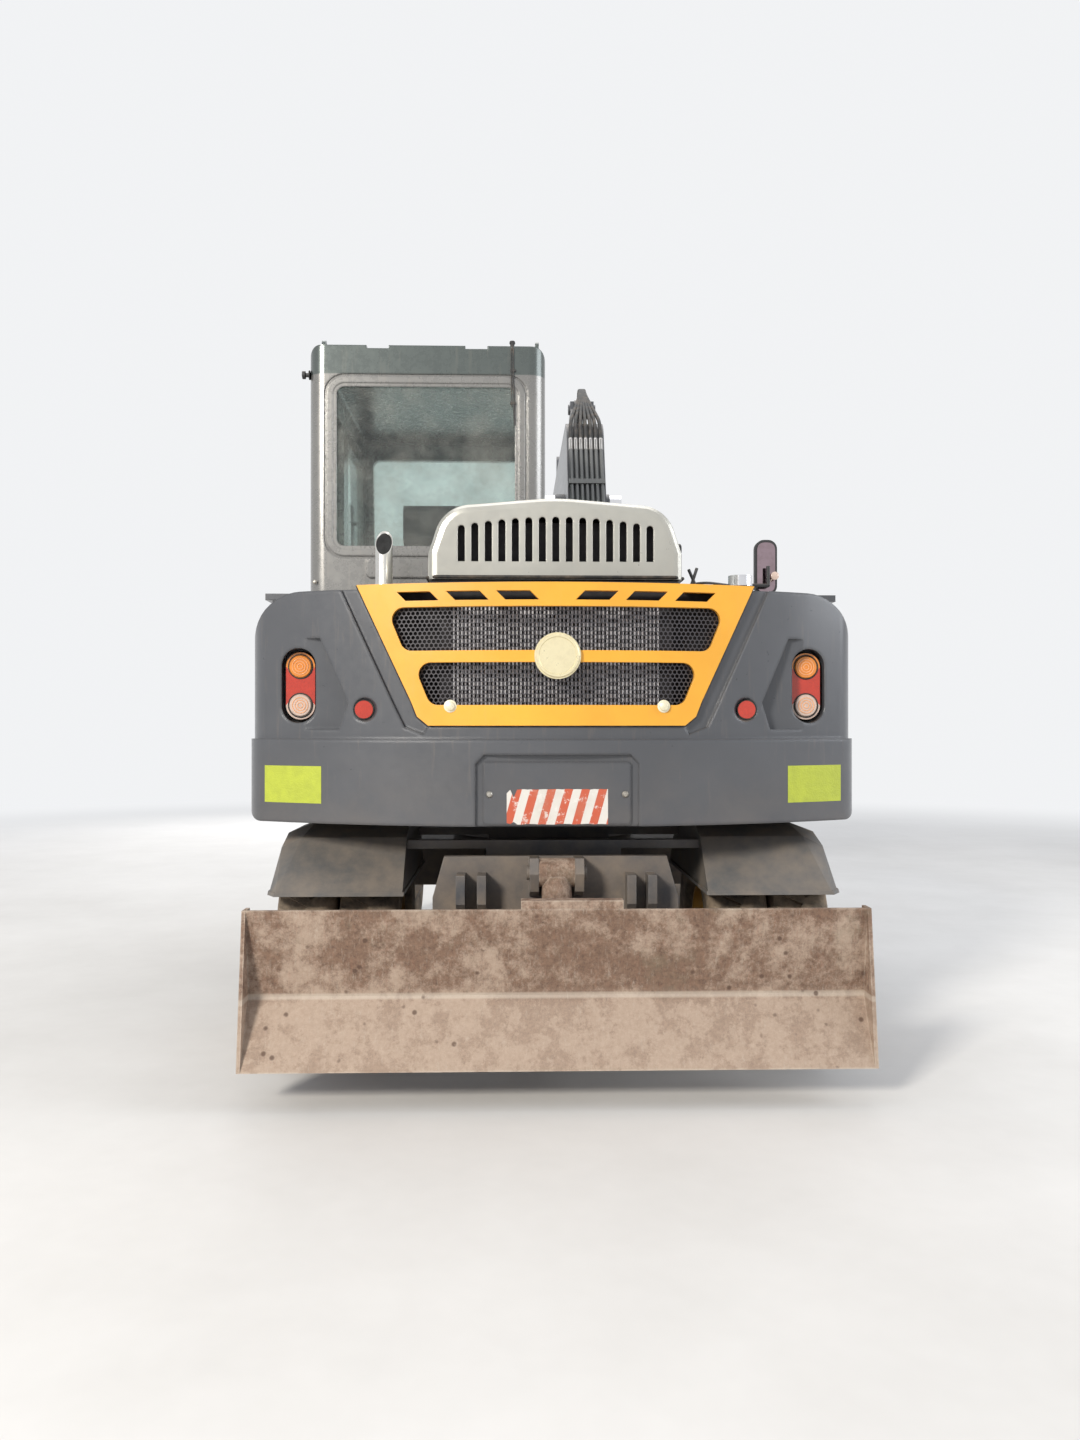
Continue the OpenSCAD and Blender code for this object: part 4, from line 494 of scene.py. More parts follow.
class Form:
    """A piece gathered from simple forms."""

    def __init__(self):
        self.bm = bmesh.new()

    def skin(self, rows, around=False, ends=False, ring=False):
        """Rows of points joined by faces: around closes each row, ring joins the last row to the first."""
        grid = [[self.bm.verts.new(p) for p in row] for row in rows]
        n = len(grid[0])
        for a, b in zip(grid, grid[1:] + (grid[:1] if ring else [])):
            for i in range(n if around else n - 1):
                j = (i + 1) % n
                self.bm.faces.new((a[i], a[j], b[j], b[i]))
        if ends:
            self.bm.faces.new(grid[0][::-1])
            self.bm.faces.new(grid[-1])
        return self

    def box(self, x, y, z):
        corners = ((0, 0), (1, 0), (1, 1), (0, 1))
        return self.skin([[(x[i], y[j], h) for i, j in corners] for h in z], around=True, ends=True)

    def plate(self, outline, y):
        """An outline of (x, z) points, given thickness from y[0] to y[1]."""
        return self.skin([[(a, depth, b) for a, b in outline] for depth in y], around=True, ends=True)

    def tube(self, path, radius, sides=12, closed=False):
        path = [Vector(p) for p in path]
        n = len(path)
        rows = []
        side = None
        for i, p in enumerate(path):
            if closed:
                ahead = (path[(i + 1) % n] - path[i - 1]).normalized()
            else:
                ahead = (path[min(i + 1, n - 1)] - path[max(i - 1, 0)]).normalized()
            if side is None:
                side = ahead.cross(Vector((0, 1, 0))) if closed else ahead.orthogonal()
            side = (side - ahead * side.dot(ahead)).normalized()
            rows.append(circle(p, side, ahead.cross(side), radius, sides))
        return self.skin(rows, around=True, ends=not closed, ring=closed)

    def turned(self, base, axis, profile, sides=24):
        """profile lists (distance along the axis, radius)."""
        axis = Vector(axis).normalized()
        side = axis.orthogonal().normalized()
        rows = [circle(Vector(base) + axis * d, side, axis.cross(side), r, sides) for d, r in profile]
        return self.skin(rows, around=True, ends=True)

    def done(self, name, look, body, smooth=38, bend=None):
        """bend, for a hose that crosses the joint between two bodies, leaves the piece unattached, fixed in
        the frame; the other body, start and end that it lists are not used.
        """
        bmesh.ops.recalc_face_normals(self.bm, faces=self.bm.faces)
        for v in self.bm.verts:
            v.co = at(*v.co)
        mesh = bpy.data.meshes.new(name)
        self.bm.to_mesh(mesh)
        self.bm.free()
        mesh.materials.append(MATERIALS[look])
        mesh.shade_smooth()
        mesh.set_sharp_from_angle(angle=math.radians(smooth))
        obj = bpy.data.objects.new(name, mesh)
        bpy.context.scene.collection.objects.link(obj)
        if bend:
            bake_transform(obj)
        else:
            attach(obj, body)
        return obj


def turns(count, first=0.0):
    """Even angles round a full turn."""
    return [first + 2 * math.pi * k / count for k in range(count)]


def circle(centre, side, up, radius, sides):
    return [centre + (side * math.cos(t) + up * math.sin(t)) * radius for t in turns(sides)]


def hoop(x, y, z, radius, sides, first=0.0):
    """A circle that faces the rear."""
    return [(x + radius * math.cos(t), y, z + radius * math.sin(t)) for t in turns(sides, first)]


def mirrored(half):
    """A whole (x, z) outline, from left to right, of which half lists the right side from the top down."""
    return [(-x, z) for x, z in half] + half[::-1]


def rounded(points, reach, steps=6, closed=False):
    """A path through the points with each corner eased over the reach."""
    pts = [Vector(p) for p in points]
    n = len(pts)
    out = [] if closed else [pts[0]]
    for i in range(n) if closed else range(1, n - 1):
        a, p, b = pts[i - 1], pts[i], pts[(i + 1) % n]
        start = p + (a - p).normalized() * min(reach, (a - p).length * 0.49)
        end = p + (b - p).normalized() * min(reach, (b - p).length * 0.49)
        for k in range(steps + 1):
            t = k / steps
            out.append(start * (1 - t) ** 2 + p * (2 * t * (1 - t)) + end * t ** 2)
    return out if closed else out + [pts[-1]]


def tail_y(x, depth):
    """The tail's round face, at a depth below its skin."""
    return TAIL_CURVE - TAIL_R - math.sqrt((TAIL_CURVE - depth) ** 2 - x * x)


def decal(name, look, node, columns, rows, thick=1.0, steps=4):
    """A thin film laid on a node's rear face; columns lists x, and rows gives each one's (low z, high z)."""
    mesh = NODES[node].data
    world = NODES[node].matrix_world
    skin = BVHTree.FromPolygons([world @ v.co for v in mesh.vertices], [p.vertices for p in mesh.polygons])
    loops = []
    for x, (z0, z1) in zip(columns, rows):
        seat = []
        for k in range(steps + 1):
            z = z0 + (z1 - z0) * k / steps
            hit = skin.ray_cast(at(x, BEHIND_Y, z), Vector((0, 1, 0)))[0]
            seat.append((x, drawn(hit)[1], z))
        back = [(x, y - FILM_GAP, z) for x, y, z in seat[::-1]]
        loops.append([(x, y - thick, z) for x, y, z in seat] + back)
    return Form().skin(loops, around=True, ends=True).done(name, look, "upper", smooth=60)


def by_place(node, *picks):
    """Extra materials on a node's faces: each pick is (look, test of the face's middle and normal)."""
    mesh = NODES[node].data
    world = NODES[node].matrix_world
    for look, test in picks:
        mesh.materials.append(MATERIALS[look])
        index = len(mesh.materials) - 1
        for face in mesh.polygons:
            if test(*drawn(world @ face.center), world.to_3x3() @ face.normal):
                face.material_index = index


# Grille and radiator

PANEL_LOW, PANEL_HIGH = box_of("grille_panel")
PANEL_EDGE = mirrored([(PANEL_HIGH[0], PANEL_HIGH[2]), (482, 1273), (462, 1223), (425, PANEL_LOW[2])])
PANEL_DEPTH = 17
# Each opening's low and high edge, and its half width at both
GRILLE_OPENINGS = ((1440, 1584, 506, 566), (1261, 1401, 418, 476))
MESH_PITCH = 15.4
MESH_HOLE_R = 6.9
MESH_DEPTHS = (31, 33.5)
MESH_REACH = 12
FIN_PITCH = 13.2
FIN_HALF_T = 2.6
FIN_PAIRS = 26
FINS_Y = (-1640, -1624)
FINS_Z = (1092, 1592)
CORE_BACK_Y = -1575
CORE_Z = (1088, 1596)
CORE_HALF_W = 350
CORE_TANK_X = 392
# Outline and depth of the near-black board behind the grille openings: painted shade.
SHADE_BOARD_EDGE = mirrored([(640, 1655), (462, 1282), (405, 1205)])
SHADE_BOARD_Y = (-1560, -1557)
PANEL_BOLT = (351, 1257)
BADGE_Z = 1421
BADGE_R = 71
BADGE_Y = -1757.1
BADGE_FOOT_Y = -1735


def grille_screen():
    """Fine six-sided mesh that fills both grille openings."""
    form = Form()
    front, back = MESH_DEPTHS
    row_pitch = MESH_PITCH * math.sin(math.radians(60))
    cell_r = MESH_PITCH / math.sqrt(3)
    for z0, z1, low, high in GRILLE_OPENINGS:
        rows = math.ceil((z1 - z0) / row_pitch / 2) + 1
        for j in range(-rows, rows + 1):
            if abs(j * row_pitch) > (z1 - z0) / 2 + 8:
                continue
            z = (z0 + z1) / 2 + j * row_pitch
            half = low + (high - low) * (z - z0) / (z1 - z0) + MESH_REACH
            cols = math.ceil(half / MESH_PITCH)
            for i in range(-cols, cols + 1):
                x = i * MESH_PITCH + (MESH_PITCH / 2 if j % 2 else 0)
                if abs(x) > half:
                    continue
                rings = []
                for radius, depth in ((cell_r, front), (MESH_HOLE_R, front), (MESH_HOLE_R, back)):
                    cell = hoop(x, depth, z, radius, 6, math.pi / 6)
                    rings.append([(a, tail_y(a, d), b) for a, d, b in cell])
                form.skin(rings, around=True)
    bmesh.ops.remove_doubles(form.bm, verts=form.bm.verts, dist=0.1)
    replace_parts(form.done("grille_screen", "mesh", "upper", smooth=30), "grille_mesh")


def radiator():
    """Bright fins, and behind them a near-black back, side tanks and a board round the openings: parts of a
    radiator in a near-black that is painted shade, so the depths behind the core are seen dark through the
    mesh.
    """
    fins = Form()
    for i in range(-FIN_PAIRS, FIN_PAIRS + 1):
        fins.box((i * FIN_PITCH - FIN_HALF_T, i * FIN_PITCH + FIN_HALF_T), FINS_Y, FINS_Z)
    fins.done("radiator_fins", "core", "upper")
    # Near-black back, tanks and board behind the fins: painted shade.
    back = Form().box((-CORE_HALF_W, CORE_HALF_W), (FINS_Y[1], CORE_BACK_Y), CORE_Z)
    for s in SIDES:
        back.box(sorted((s * CORE_HALF_W, s * CORE_TANK_X)), (FINS_Y[0], CORE_BACK_Y), CORE_Z)
    back.plate(SHADE_BOARD_EDGE, SHADE_BOARD_Y)
    back.done("radiator_back_shade", "painted_shade_black", "upper")


def grille_trim():
    """A black seal round the panel, which is painted shade in the gap round it, two pale bolts, and a bare
    disc on the badge's place.
    """
    path = []
    for (x0, z0), (x1, z1) in zip(PANEL_EDGE, PANEL_EDGE[1:]):
        n = 24 if abs(x1 - x0) > 400 else 6
        path += [(x0 + (x1 - x0) * k / n, z0 + (z1 - z0) * k / n) for k in range(n)]
    path.append(PANEL_EDGE[-1])
    # Black strip round the panel: painted shade in the gap between the panel and the counterweight.
    seal = Form().tube([(x, tail_y(x, PANEL_DEPTH) + 1, z) for x, z in path], 4.5, 8)
    seal.done("grille_gap_shade", "seal", "upper")
    bolts = Form()
    bolt_x, bolt_z = PANEL_BOLT
    for s in SIDES:
        head = [(0, 21), (3, 21), (4, 15), (11, 14), (13, 11), (13.5, 0.2)]
        bolts.turned((s * bolt_x, tail_y(bolt_x, 5) - 0.1, bolt_z), (0, -1, 0), head)
    bolts.done("grille_bolts", "cream", "upper")

    def on_badge(x, y, z, n):
        """The badge's boss: its front, and its rim down to the panel."""
        near = y < BADGE_FOOT_Y and math.hypot(x, z - BADGE_Z) < BADGE_R + 6
        return near and (y < BADGE_Y + 1.1 or abs(n.y) < 0.5)

    by_place("grille_panel", ("pale_gold", on_badge))
    face = [(0, BADGE_R), (4, BADGE_R), (6, BADGE_R - 2), (6, BADGE_R - 9), (3.5, BADGE_R - 11), (3.5, 0.3)]
    Form().turned((0, BADGE_Y, BADGE_Z), (0, -1, 0), face, 48).done("plain_disc", "pale_gold", "upper")


# Lamps, labels and striped film on the tail

LAMPS_LOW, LAMPS_HIGH = box_of("tail_lamps")
LAMP_HALF_W = 50
LAMP_X = LAMPS_HIGH[0] - LAMP_HALF_W
LAMP_Y = -1460.3
LAMP_Z = (LAMPS_LOW[2] + LAMPS_HIGH[2]) / 2
LAMP_HALF_H = LAMPS_HIGH[2] - LAMP_Z
RIM_OUT = 3
LENS_STEP = 67
LENS_R = 41
LENS_RIM_Y = LAMP_Y - 46
LENS_RIB_RS = (9, 18, 27)
LENS_RIB_Y = LAMP_Y - 52.4
REFLECTOR = (645, -1619.4, 1247)
LABEL_X = 792
LABEL_W = 210
LABEL_Z = (930, 1056)
LABEL_COLUMNS = 15
PLATE_LOW, PLATE_HIGH = box_of("number_plate")
PLATE_SCREW = (PLATE_HIGH[0] - 21, PLATE_LOW[1] - 0.2, 968)
FILM_HALF_W = 166
FILM_Z = (PLATE_LOW[2] + 2, 986)
FILM_COLUMNS = 30
TORN_COLUMNS = 3


def lamps():
    """Lens colours, seals round lenses and lamps, lens ribs, and the round reflectors' rims."""
    inner_x = LAMP_X - 2 * LAMP_HALF_W
    face_y = LAMP_Y - 44
    rim_w, rim_h = LAMP_HALF_W + RIM_OUT, LAMP_HALF_H + RIM_OUT
    by_place("tail_lamps",
             ("amber", lambda x, y, z, n: abs(x) > inner_x and z > LAMP_Z + 24 and y < face_y),
             ("clear", lambda x, y, z, n: abs(x) > inner_x and z < LAMP_Z - 24 and y < face_y))
    rims = Form()
    ribs = Form()
    for s in SIDES:
        for z in (LAMP_Z - LENS_STEP, LAMP_Z + LENS_STEP):
            rims.tube(hoop(s * LAMP_X, LENS_RIM_Y, z, LENS_R, 32), 2.6, 8, closed=True)
            for r in LENS_RIB_RS:
                ribs.tube(hoop(s * LAMP_X, LENS_RIB_Y, z, r, 24), 1.6, 6, closed=True)
        corners = [(s * LAMP_X + a * rim_w, LAMP_Y - 5, LAMP_Z + b * rim_h) for a, b in CORNERS]
        rims.tube(rounded(corners, 60, 8, closed=True), 5, 8, closed=True)
        x, y, z = REFLECTOR
        rims.turned((s * x, y, z), (0, -1, 0), [(0, 34), (8, 33.5), (8, 30.5), (0.5, 30.2)], 32)
    rims.done("lamp_rims", "seal", "upper")
    ribs.done("lens_ribs", "lens_line", "upper")


def labels():
    """Blank labels on both sides, and the striped film with its torn left edge."""
    for side, name in zip(SIDES, ("label_left", "label_right")):
        xs = [side * (LABEL_X + LABEL_W * k / (LABEL_COLUMNS - 1)) for k in range(LABEL_COLUMNS)]
        decal(name, "sticker", "counterweight", xs, [LABEL_Z] * LABEL_COLUMNS)
    draw = random.Random(4)

    def ragged(torn, worn):
        """How much of the film is missing at an edge, column by column."""
        return [(torn if k < TORN_COLUMNS else worn) * draw.random() for k in range(FILM_COLUMNS)]

    xs = [-FILM_HALF_W + 2 * FILM_HALF_W * k / (FILM_COLUMNS - 1) for k in range(FILM_COLUMNS)]
    low = [FILM_Z[0] + missing for missing in ragged(24, 3)]
    high = [FILM_Z[1] - missing for missing in ragged(30, 2.5)]
    decal("striped_film", "stripes", "number_plate", xs, list(zip(low, high)))
    screws = Form()
    x, y, z = PLATE_SCREW
    for s in SIDES:
        screws.turned((s * x, y, z), (0, -1, 0), [(0, 11), (3, 11), (7, 7), (7.5, 0.2)], 16)
    screws.done("plate_screws", "bolt", "upper")


# Hood and what stands on the deck

HOOD_LOW, HOOD_HIGH = box_of("engine_hood")
# The hood's seal: how far it lies out from the hood and above its lower edge, its front end and corners
SEAL_OUT = 3
SEAL_UP = 7
SEAL_FRONT_Y = -704
SEAL_CORNER = 31
# Near-black sheet behind the hood's slots, painted shade: its half width, depth and height.
SLOT_SHADE_HALF_W = 362
SLOT_SHADE_Y = (-1560, -1556)
SLOT_SHADE_Z = (1738, 1888)
LATCH_Y, LATCH_Z = -1400, 1823
FILLER = (750, -1030)
FILLER_TOP = 1734.6
PIPE_LOW, PIPE_HIGH = box_of("exhaust_pipe")
DECK_Z = PIPE_LOW[2]
EXHAUST = ((PIPE_LOW[0] + PIPE_HIGH[0]) / 2, (PIPE_LOW[1] + PIPE_HIGH[1]) / 2)
EXHAUST_R = 33
EXHAUST_BORE_R = 30.5
EXHAUST_TOP = 1893
BORE_FLOOR = 1690
THROAT_FLOOR = 1800
# Rise of the slanted mouth from its middle to its front
MOUTH_RISE = 52
REAR_DECK_DEPTH = 42
REAR_DECK_FRONT_Y = -1290.6


def hood_trim():
    """Seal under the hood's edge, a near-black sheet behind its slots that is painted shade, and the latch on
    its right side.
    """
    side, back, z = HOOD_HIGH[0] + SEAL_OUT, HOOD_LOW[1] - SEAL_OUT, HOOD_LOW[2] + SEAL_UP
    right = [(side, SEAL_FRONT_Y), (side, back + SEAL_CORNER), (side - SEAL_CORNER, back)]
    left = [(-x, y) for x, y in right[::-1]]
    Form().tube([(x, y, z) for x, y in right + left], 6, 10).done("hood_foot", "seal", "hood")
    # Near-black sheet behind the slots: painted shade.
    Form().box((-SLOT_SHADE_HALF_W, SLOT_SHADE_HALF_W), SLOT_SHADE_Y, SLOT_SHADE_Z).done("hood_slot_shade", "painted_shade_black", "hood")
    latch = [(-1, 16), (9, 16), (11, 21), (20, 22), (24, 17), (24.5, 0.3)]
    Form().turned((HOOD_HIGH[0], LATCH_Y, LATCH_Z), (1, 0, 0), latch).done("hood_latch", "plastic", "hood")


def filler():
    """Yellow neck, chrome cap and seal on the tank."""
    x, y = FILLER
    neck = [(0, 50), (3, 50), (5, 45), (59.5, 45), (59.5, 30.5), (0, 30.5)]
    Form().turned((x, y, DECK_Z + 0.3), (0, 0, 1), neck, 40).done("filler_neck", "yellow", "upper")
    by_place("side_tank",
             ("chrome", lambda a, b, z, n: z > 1733 and math.hypot(a - x, b - y) < 60),
             ("yellow", lambda a, b, z, n: DECK_Z + 1 < z <= 1736 and math.hypot(a - x, b - y) < 40))
    ring = Form().turned((x, y, FILLER_TOP), (0, 0, 1), [(0, 49), (4, 49), (4, 46), (0, 46)], 32)
    ring.done("filler_ring", "seal", "upper")


def exhaust():
    """The pipe with its slanted mouth to the rear, its foot ring and its dark inside."""
    x, y = EXHAUST

    def mouth(radius, drop=0):
        slope = MOUTH_RISE * radius / EXHAUST_R
        return [(x + radius * math.cos(t), y + radius * math.sin(t), EXHAUST_TOP - drop + slope * math.sin(t))
                for t in turns(40)]

    def level(radius, z):
        return [(x + radius * math.cos(t), y + radius * math.sin(t), z) for t in turns(40)]

    foot = DECK_Z + 0.3
    pipe = Form().skin([level(EXHAUST_R, foot), mouth(EXHAUST_R), mouth(EXHAUST_BORE_R),
                        level(EXHAUST_BORE_R, BORE_FLOOR), level(0.2, BORE_FLOOR)], around=True)
    pipe.skin([level(0.2, foot), level(EXHAUST_R, foot)], around=True)
    pipe.turned((x, y, DECK_Z + 0.2), (0, 0, 1), [(0, 52), (6, 52), (6, 34), (0, 34)], 32)
    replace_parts(pipe.done("slanted_exhaust", "pipe", "upper"), "exhaust_pipe")
    inner = EXHAUST_BORE_R - 0.2
    throat = Form().skin([level(0.2, THROAT_FLOOR), level(inner, THROAT_FLOOR), mouth(inner, 5),
                          mouth(0.2, 5)], around=True)
    throat.done("exhaust_throat", "soot", "upper")


def hood_catch():
    """Crossed prongs on a small plate, with a stay to the right."""
    catch = Form()
    for foot_x, tip_x, tip_z in ((520, 560, 1795), (575, 528, 1790)):
        catch.tube([(foot_x, -1150, DECK_Z + 1), (tip_x, -1140, tip_z)], 6, 8)
    catch.tube(rounded([(545, -1135, 1735), (600, -1130, 1742), (700, -1060, 1740)], 40), 5, 8)
    catch.box((505, 590), (-1165, -1135), (DECK_Z + 0.2, DECK_Z + 6))
    catch.done("hood_catch", "black", "upper")


def rear_deck():
    """Sheet that closes the counterweight's top behind and beside the hood."""
    top = box_of("counterweight")[1][2]
    low, high = top + 0.4, top + 9
    hood_x = HOOD_HIGH[0] + 6
    right = (170, 340, hood_x - 1, hood_x + 1, 540, 640)
    rows = []
    for x in (*[-x for x in right[::-1]], 0, *right):
        rear = tail_y(x, REAR_DECK_DEPTH)
        front = REAR_DECK_FRONT_Y if abs(x) > hood_x else HOOD_LOW[1] - 4
        rows.append([(x, rear, low), (x, front, low), (x, front, high), (x, rear, high)])
    Form().skin(rows, around=True, ends=True).done("rear_deck", "dark", "upper")


# Mirrors and cab

# Each mirror's middle, half width and half height
MIRRORS = ((-1122, 1040, 2330, 38, 138), (1115, 100, 1975, 45, 124))
MARKER = (1149, 62, 1928)
CAB_REAR_Y = -650
AERIAL_X = -143
AERIAL_TOP = 2800
AERIAL_CLIPS = (2700, 2560)
KNOB = (-1015, -600, 2695)
SCREW_XS = (-985, -40)
SCREW_ZS = (1000, 1400, 1800)


def mirror_glass():
    """Both mirrors' faces, and the round marker at the right one."""
    faces = Form()
    for x, y, z, w, h in MIRRORS:
        corners = [(x + a * w, 0, z + b * h) for a, b in CORNERS]
        outline = [(p.x, p.z) for p in rounded(corners, 40, 6, closed=True)]
        faces.plate(outline, (y - 20.5, y - 18.1))
    faces.done("mirror_glass", "mirror", "upper")
    x, y, z = MARKER
    eye = Form().tube([(x - 28, y - 2, z - 32), (x - 13, y - 4, z - 16), (x - 2, y - 12, z - 6)], 5, 8)
    eye.turned(MARKER, (0, -1, 0), [(0, 6), (8, 18), (24, 20), (25, 17), (28, 8), (28.5, 0.2)])
    eye.done("round_marker", "clear", "upper")


def cab_trim():
    """The aerial's lead with its foot and clips, the knob at the left edge and the rear wall's screws."""
    x, top, wall = AERIAL_X, AERIAL_TOP, CAB_REAR_Y
    upper_clip, lower_clip = AERIAL_CLIPS
    line = rounded([(x, wall - 3.5, top), (x, wall - 5, upper_clip), (x + 3, wall - 5, lower_clip),
                    (x + 5, wall - 4, 2474)], 60)
    wire = Form().tube(line, 3.2, 8).tube([(p.x - 9, p.y, p.z) for p in line[:-3]], 2.6, 8)
    wire.tube([(x - 5, wall - 2, top - 6), (x - 4, wall + 2, top + 22), (x - 4, wall + 50, top + 26)], 4, 8)
    wire.turned((x - 4, wall + 50, top + 10), (0, 0, 1),
                [(0, 17), (4, 17), (6, 10), (22, 9), (30, 13), (38, 11), (42, 0.3)], 20)
    for z in AERIAL_CLIPS:
        wire.box((x - 13, x + 11), (wall - 6, wall - 0.1), (z, z + 10))
    wire.done("aerial_lead", "hose", "upper")
    knob = [(0, 20), (4, 20), (6, 9), (18, 9), (20, 17), (32, 17), (36, 0.3)]
    Form().turned(KNOB, (-1, 0, 0), knob, 20).done("cab_knob", "plastic", "upper")
    screws = Form()
    for x in SCREW_XS:
        for z in SCREW_ZS:
            screws.turned((x, wall - 0.1, z), (0, -1, 0), [(0, 9), (3, 9), (5, 6), (5.4, 0.2)], 12)
    screws.done("cab_screws", "bolt", "upper")


# Boom and wheels

BOOM_X = 265
BOOM_LOW_L = 1692
BOOM_LOW_ANGLE = math.radians(65.5)
HOSE_R = 10.5
HOSE_XS = [BOOM_X + 28 * k for k in range(-3, 4)]
NUT_CIRCLE_R = 118
# How far from the machine's middle each wheel's nuts stand
NUT_X = {"wheel_front": 826, "wheels_rear": 769}


def on_boom(share, off):
    """A point (y, z) beside the lower boom: share of its length, and distance to its back."""
    _, y, z = drawn(JOINTS["boom_lift"]["pos_m"])
    along = Vector((math.cos(BOOM_LOW_ANGLE), math.sin(BOOM_LOW_ANGLE)))
    p = Vector((y, z)) + along * share * BOOM_LOW_L + Vector((-along.y, along.x)) * off
    return p.x, p.y


def boom_hoses():
    """Hoses over the boom's bend, the nuts at both ends of its pipes, and the feed hoses from the deck."""
    hoses, ends, feed = Form(), Form(), Form()
    y0, z0 = on_boom(0.965, 181)
    y1, z1 = on_boom(1.04, 190)
    foot_y, foot_z = on_boom(0.125, 156)
    for x in HOSE_XS:
        gathered = BOOM_X + (x - BOOM_X) * 0.16
        over = rounded([(x, y0, z0), (x, y1, z1), (gathered, 1075, 3130), (gathered, 1160, 3190),
                        (gathered, 1330, 3090), ((x + BOOM_X - 1) / 2, 1560, 2945)], 60, 5)
        hoses.tube(over, HOSE_R, 10)
        for low, high in ((0.93, 0.975), (0.118, 0.15)):
            ends.tube([(x, *on_boom(s, 152 + 30 * s)) for s in (low, high)], 13.2, 6)
        run = rounded([(x, foot_y, foot_z), (x, foot_y - 30, foot_z - 90), (x, 60, 1180), (x, 10, 1000)],
                      90, 6)
        feed.tube(run[:7] + [run[6].lerp(run[7], k / 5) for k in range(1, 5)] + run[7:], HOSE_R, 10)
    hoses.done("boom_hoses", "hose", "boom")
    ends.done("pipe_nuts", "steel", "boom", smooth=20)
    feed.done("feed_hoses", "hose", "upper", bend=("boom", (BOOM_X, 60, 1120), (BOOM_X, 215, 1430)))


def wheel_nuts():
    profile = [(0.1, 13), (2, 13), (2, 11), (15, 11), (17, 6), (24, 6), (24.5, 0.2)]
    for side, name in zip(SIDES, ("left", "right")):
        for wheel, x in NUT_X.items():
            body = f"{wheel}_{name}"
            _, y, z = drawn(JOINTS[f"{body}_spin"]["pos_m"])
            nuts = Form()
            for t in turns(8, math.pi / 8):
                place = (side * x, y + NUT_CIRCLE_R * math.cos(t), z + NUT_CIRCLE_R * math.sin(t))
                nuts.turned(place, (side, 0, 0), profile, 6)
            nuts.done(f"nuts_{body}", "bolt", body, smooth=20)


for build in (grille_screen, radiator, grille_trim, lamps, labels, hood_trim, filler, exhaust, hood_catch,
              rear_deck, mirror_glass, cab_trim, boom_hoses, wheel_nuts):
    build()


# Stage, camera and light, with lengths in metres

CAMERA_AT = at(-150, -5280, 1203)
CAMERA_YAW = 1.5
CAMERA_PITCH = 0.14
FOCAL_PX = 1085
IMAGE_H = 1440
SENSOR = 36
BACKDROP = (0.93, 0.94, 0.955, 1)
BACKDROP_STRENGTH = 0.95
FLOOR_SIZE = 60
# Distances from the machine's middle over which the floor turns into the backdrop
FLOOR_FADES = (5.0, 12.0)
# Each light's name, place, aim, size, watts, colour, and whether gloss shows it
LIGHTS = (
    ("key", (-6.9, -12.2, 6.8), (0, -1.5, 1.2), 2.4, 1830, (1.0, 0.955, 0.88), True),
    ("fill", (6.5, -3.0, 4.0), (0, 0, 1.2), 4, 240, (0.93, 0.96, 1.0), True),
    ("top", (0, 1.0, 8.0), (0, 0, 0), 7, 300, (1, 1, 1), True),
    ("front", (-3.0, 8.0, 4.0), (0, 0, 1.0), 4, 300, (1, 1, 1), False),
)


def seen_rays(tree):
    """1 for the rays that show the backdrop: straight, by reflection and through glass."""
    path = tree.nodes.new("ShaderNodeLightPath")
    total = path.outputs["Is Camera Ray"]
    for ray in ("Is Glossy Ray", "Is Transmission Ray"):
        most = tree.nodes.new("ShaderNodeMath")
        most.operation = "MAXIMUM"
        tree.links.new(total, most.inputs[0])
        tree.links.new(path.outputs[ray], most.inputs[1])
        total = most.outputs[0]
    return total


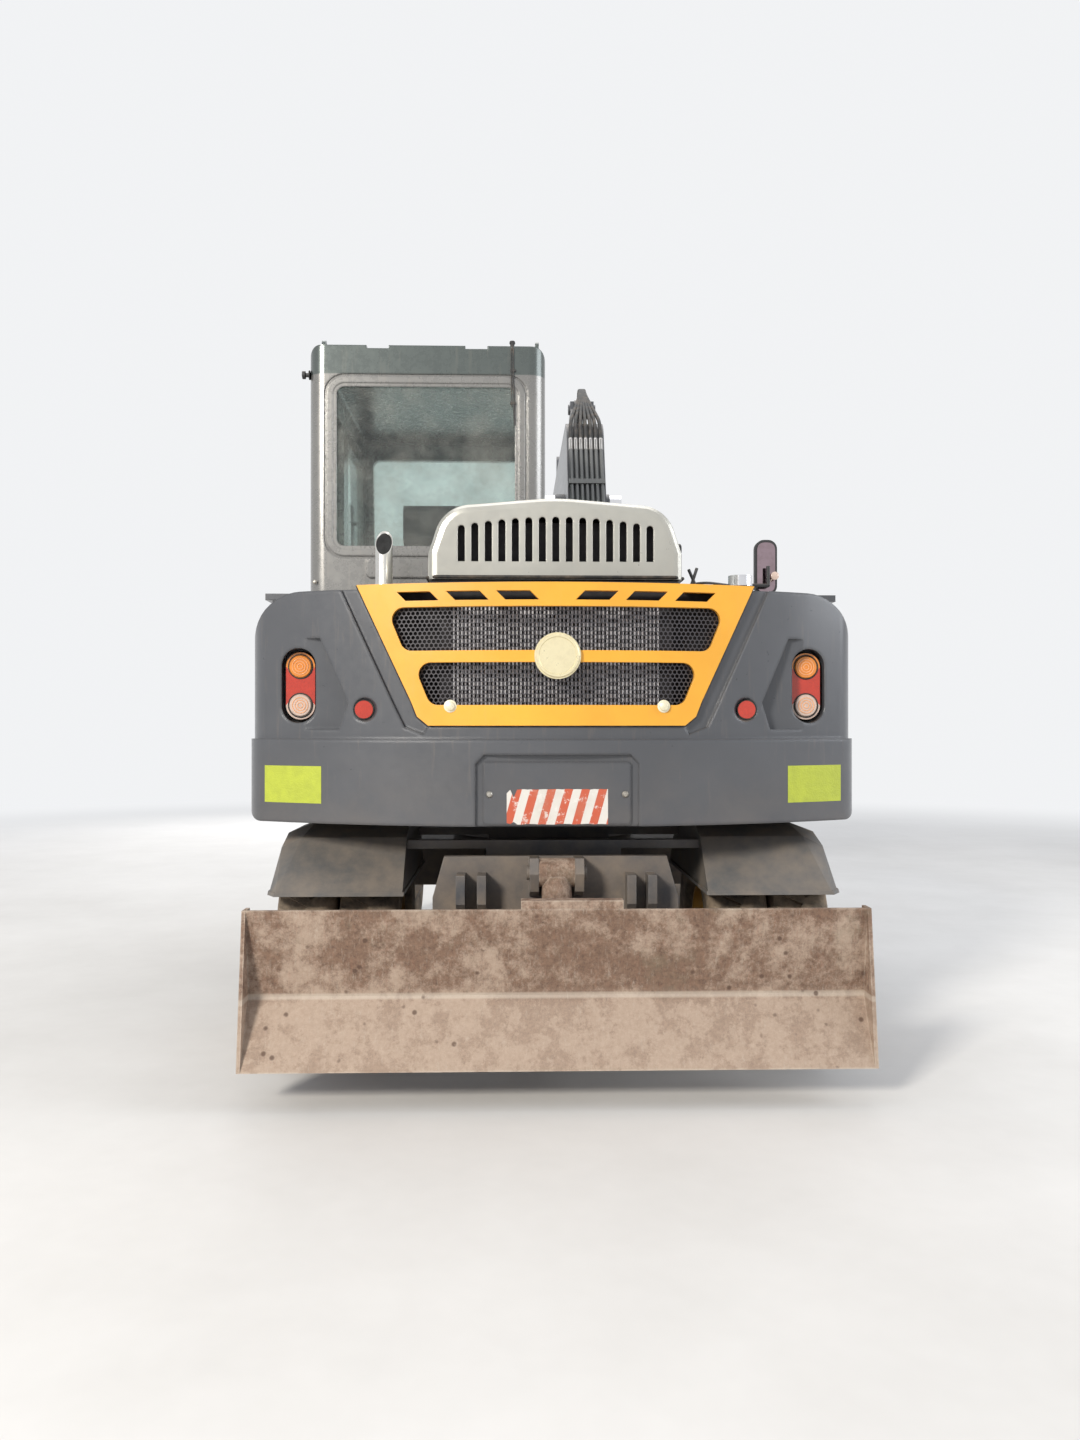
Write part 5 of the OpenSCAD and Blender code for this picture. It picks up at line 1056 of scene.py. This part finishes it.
def pale_floor():
    """A pale floor that keeps the shadow, and far out takes the backdrop's tone, so no horizon shows."""
    bpy.ops.mesh.primitive_plane_add(size=FLOOR_SIZE, location=(0, 0, 0))
    floor = bpy.context.object
    floor.name = "floor"
    s = Shade("pale_floor")
    s.bump((s.noise(3, 6), 0.0015))
    floor.data.materials.append(s.done(s.mottle((0.60, 0.58, 0.55), (0.68, 0.66, 0.63), 0.8), 0.75))
    reach = s.node("ShaderNodeVectorMath", operation="LENGTH")
    s.link(s.node("ShaderNodeNewGeometry").outputs["Position"], reach.inputs[0])
    far = s.ramp(reach.outputs["Value"], *FLOOR_FADES, curve="SMOOTHSTEP")
    glow = s.node("ShaderNodeEmission")
    glow.inputs["Color"].default_value = BACKDROP
    glow.inputs["Strength"].default_value = BACKDROP_STRENGTH
    share = s.math("MULTIPLY", far, seen_rays(s.tree))
    pick_shader(s.tree, share, s.bsdf.outputs[0], glow.outputs[0], s.surface)


def camera():
    data = bpy.data.cameras.new("camera")
    data.sensor_fit = "VERTICAL"
    data.sensor_height = SENSOR
    data.lens = SENSOR * FOCAL_PX / IMAGE_H
    cam = bpy.data.objects.new("camera", data)
    bpy.context.scene.collection.objects.link(cam)
    cam.location = CAMERA_AT
    cam.rotation_euler = (math.radians(90 + CAMERA_PITCH), 0, math.radians(-CAMERA_YAW))
    bpy.context.scene.camera = cam


def lights():
    for name, place, aim, size, power, color, in_gloss in LIGHTS:
        data = bpy.data.lights.new(name, "AREA")
        data.size = size
        data.energy = power
        data.color = color
        lamp = bpy.data.objects.new(name, data)
        bpy.context.scene.collection.objects.link(lamp)
        lamp.location = place
        lamp.visible_camera = False
        lamp.visible_transmission = False
        lamp.visible_glossy = in_gloss
        lamp.rotation_euler = (Vector(aim) - Vector(place)).to_track_quat("-Z", "Y").to_euler()


def surroundings():
    """Soft bluish light on the machine, and the pale backdrop where the world itself is seen."""
    world = bpy.data.worlds.new("studio")
    bpy.context.scene.world = world
    world.use_nodes = True
    tree = world.node_tree
    light = tree.nodes["Background"]
    light.inputs["Color"].default_value = (0.80, 0.87, 1.0, 1)
    light.inputs["Strength"].default_value = 0.55
    seen = tree.nodes.new("ShaderNodeBackground")
    seen.inputs["Color"].default_value = BACKDROP
    seen.inputs["Strength"].default_value = BACKDROP_STRENGTH
    socket = tree.nodes["World Output"].inputs["Surface"]
    pick_shader(tree, seen_rays(tree), light.outputs[0], seen.outputs[0], socket)


pale_floor()
camera()
lights()
surroundings()
bpy.context.scene.view_settings.view_transform = "Standard"
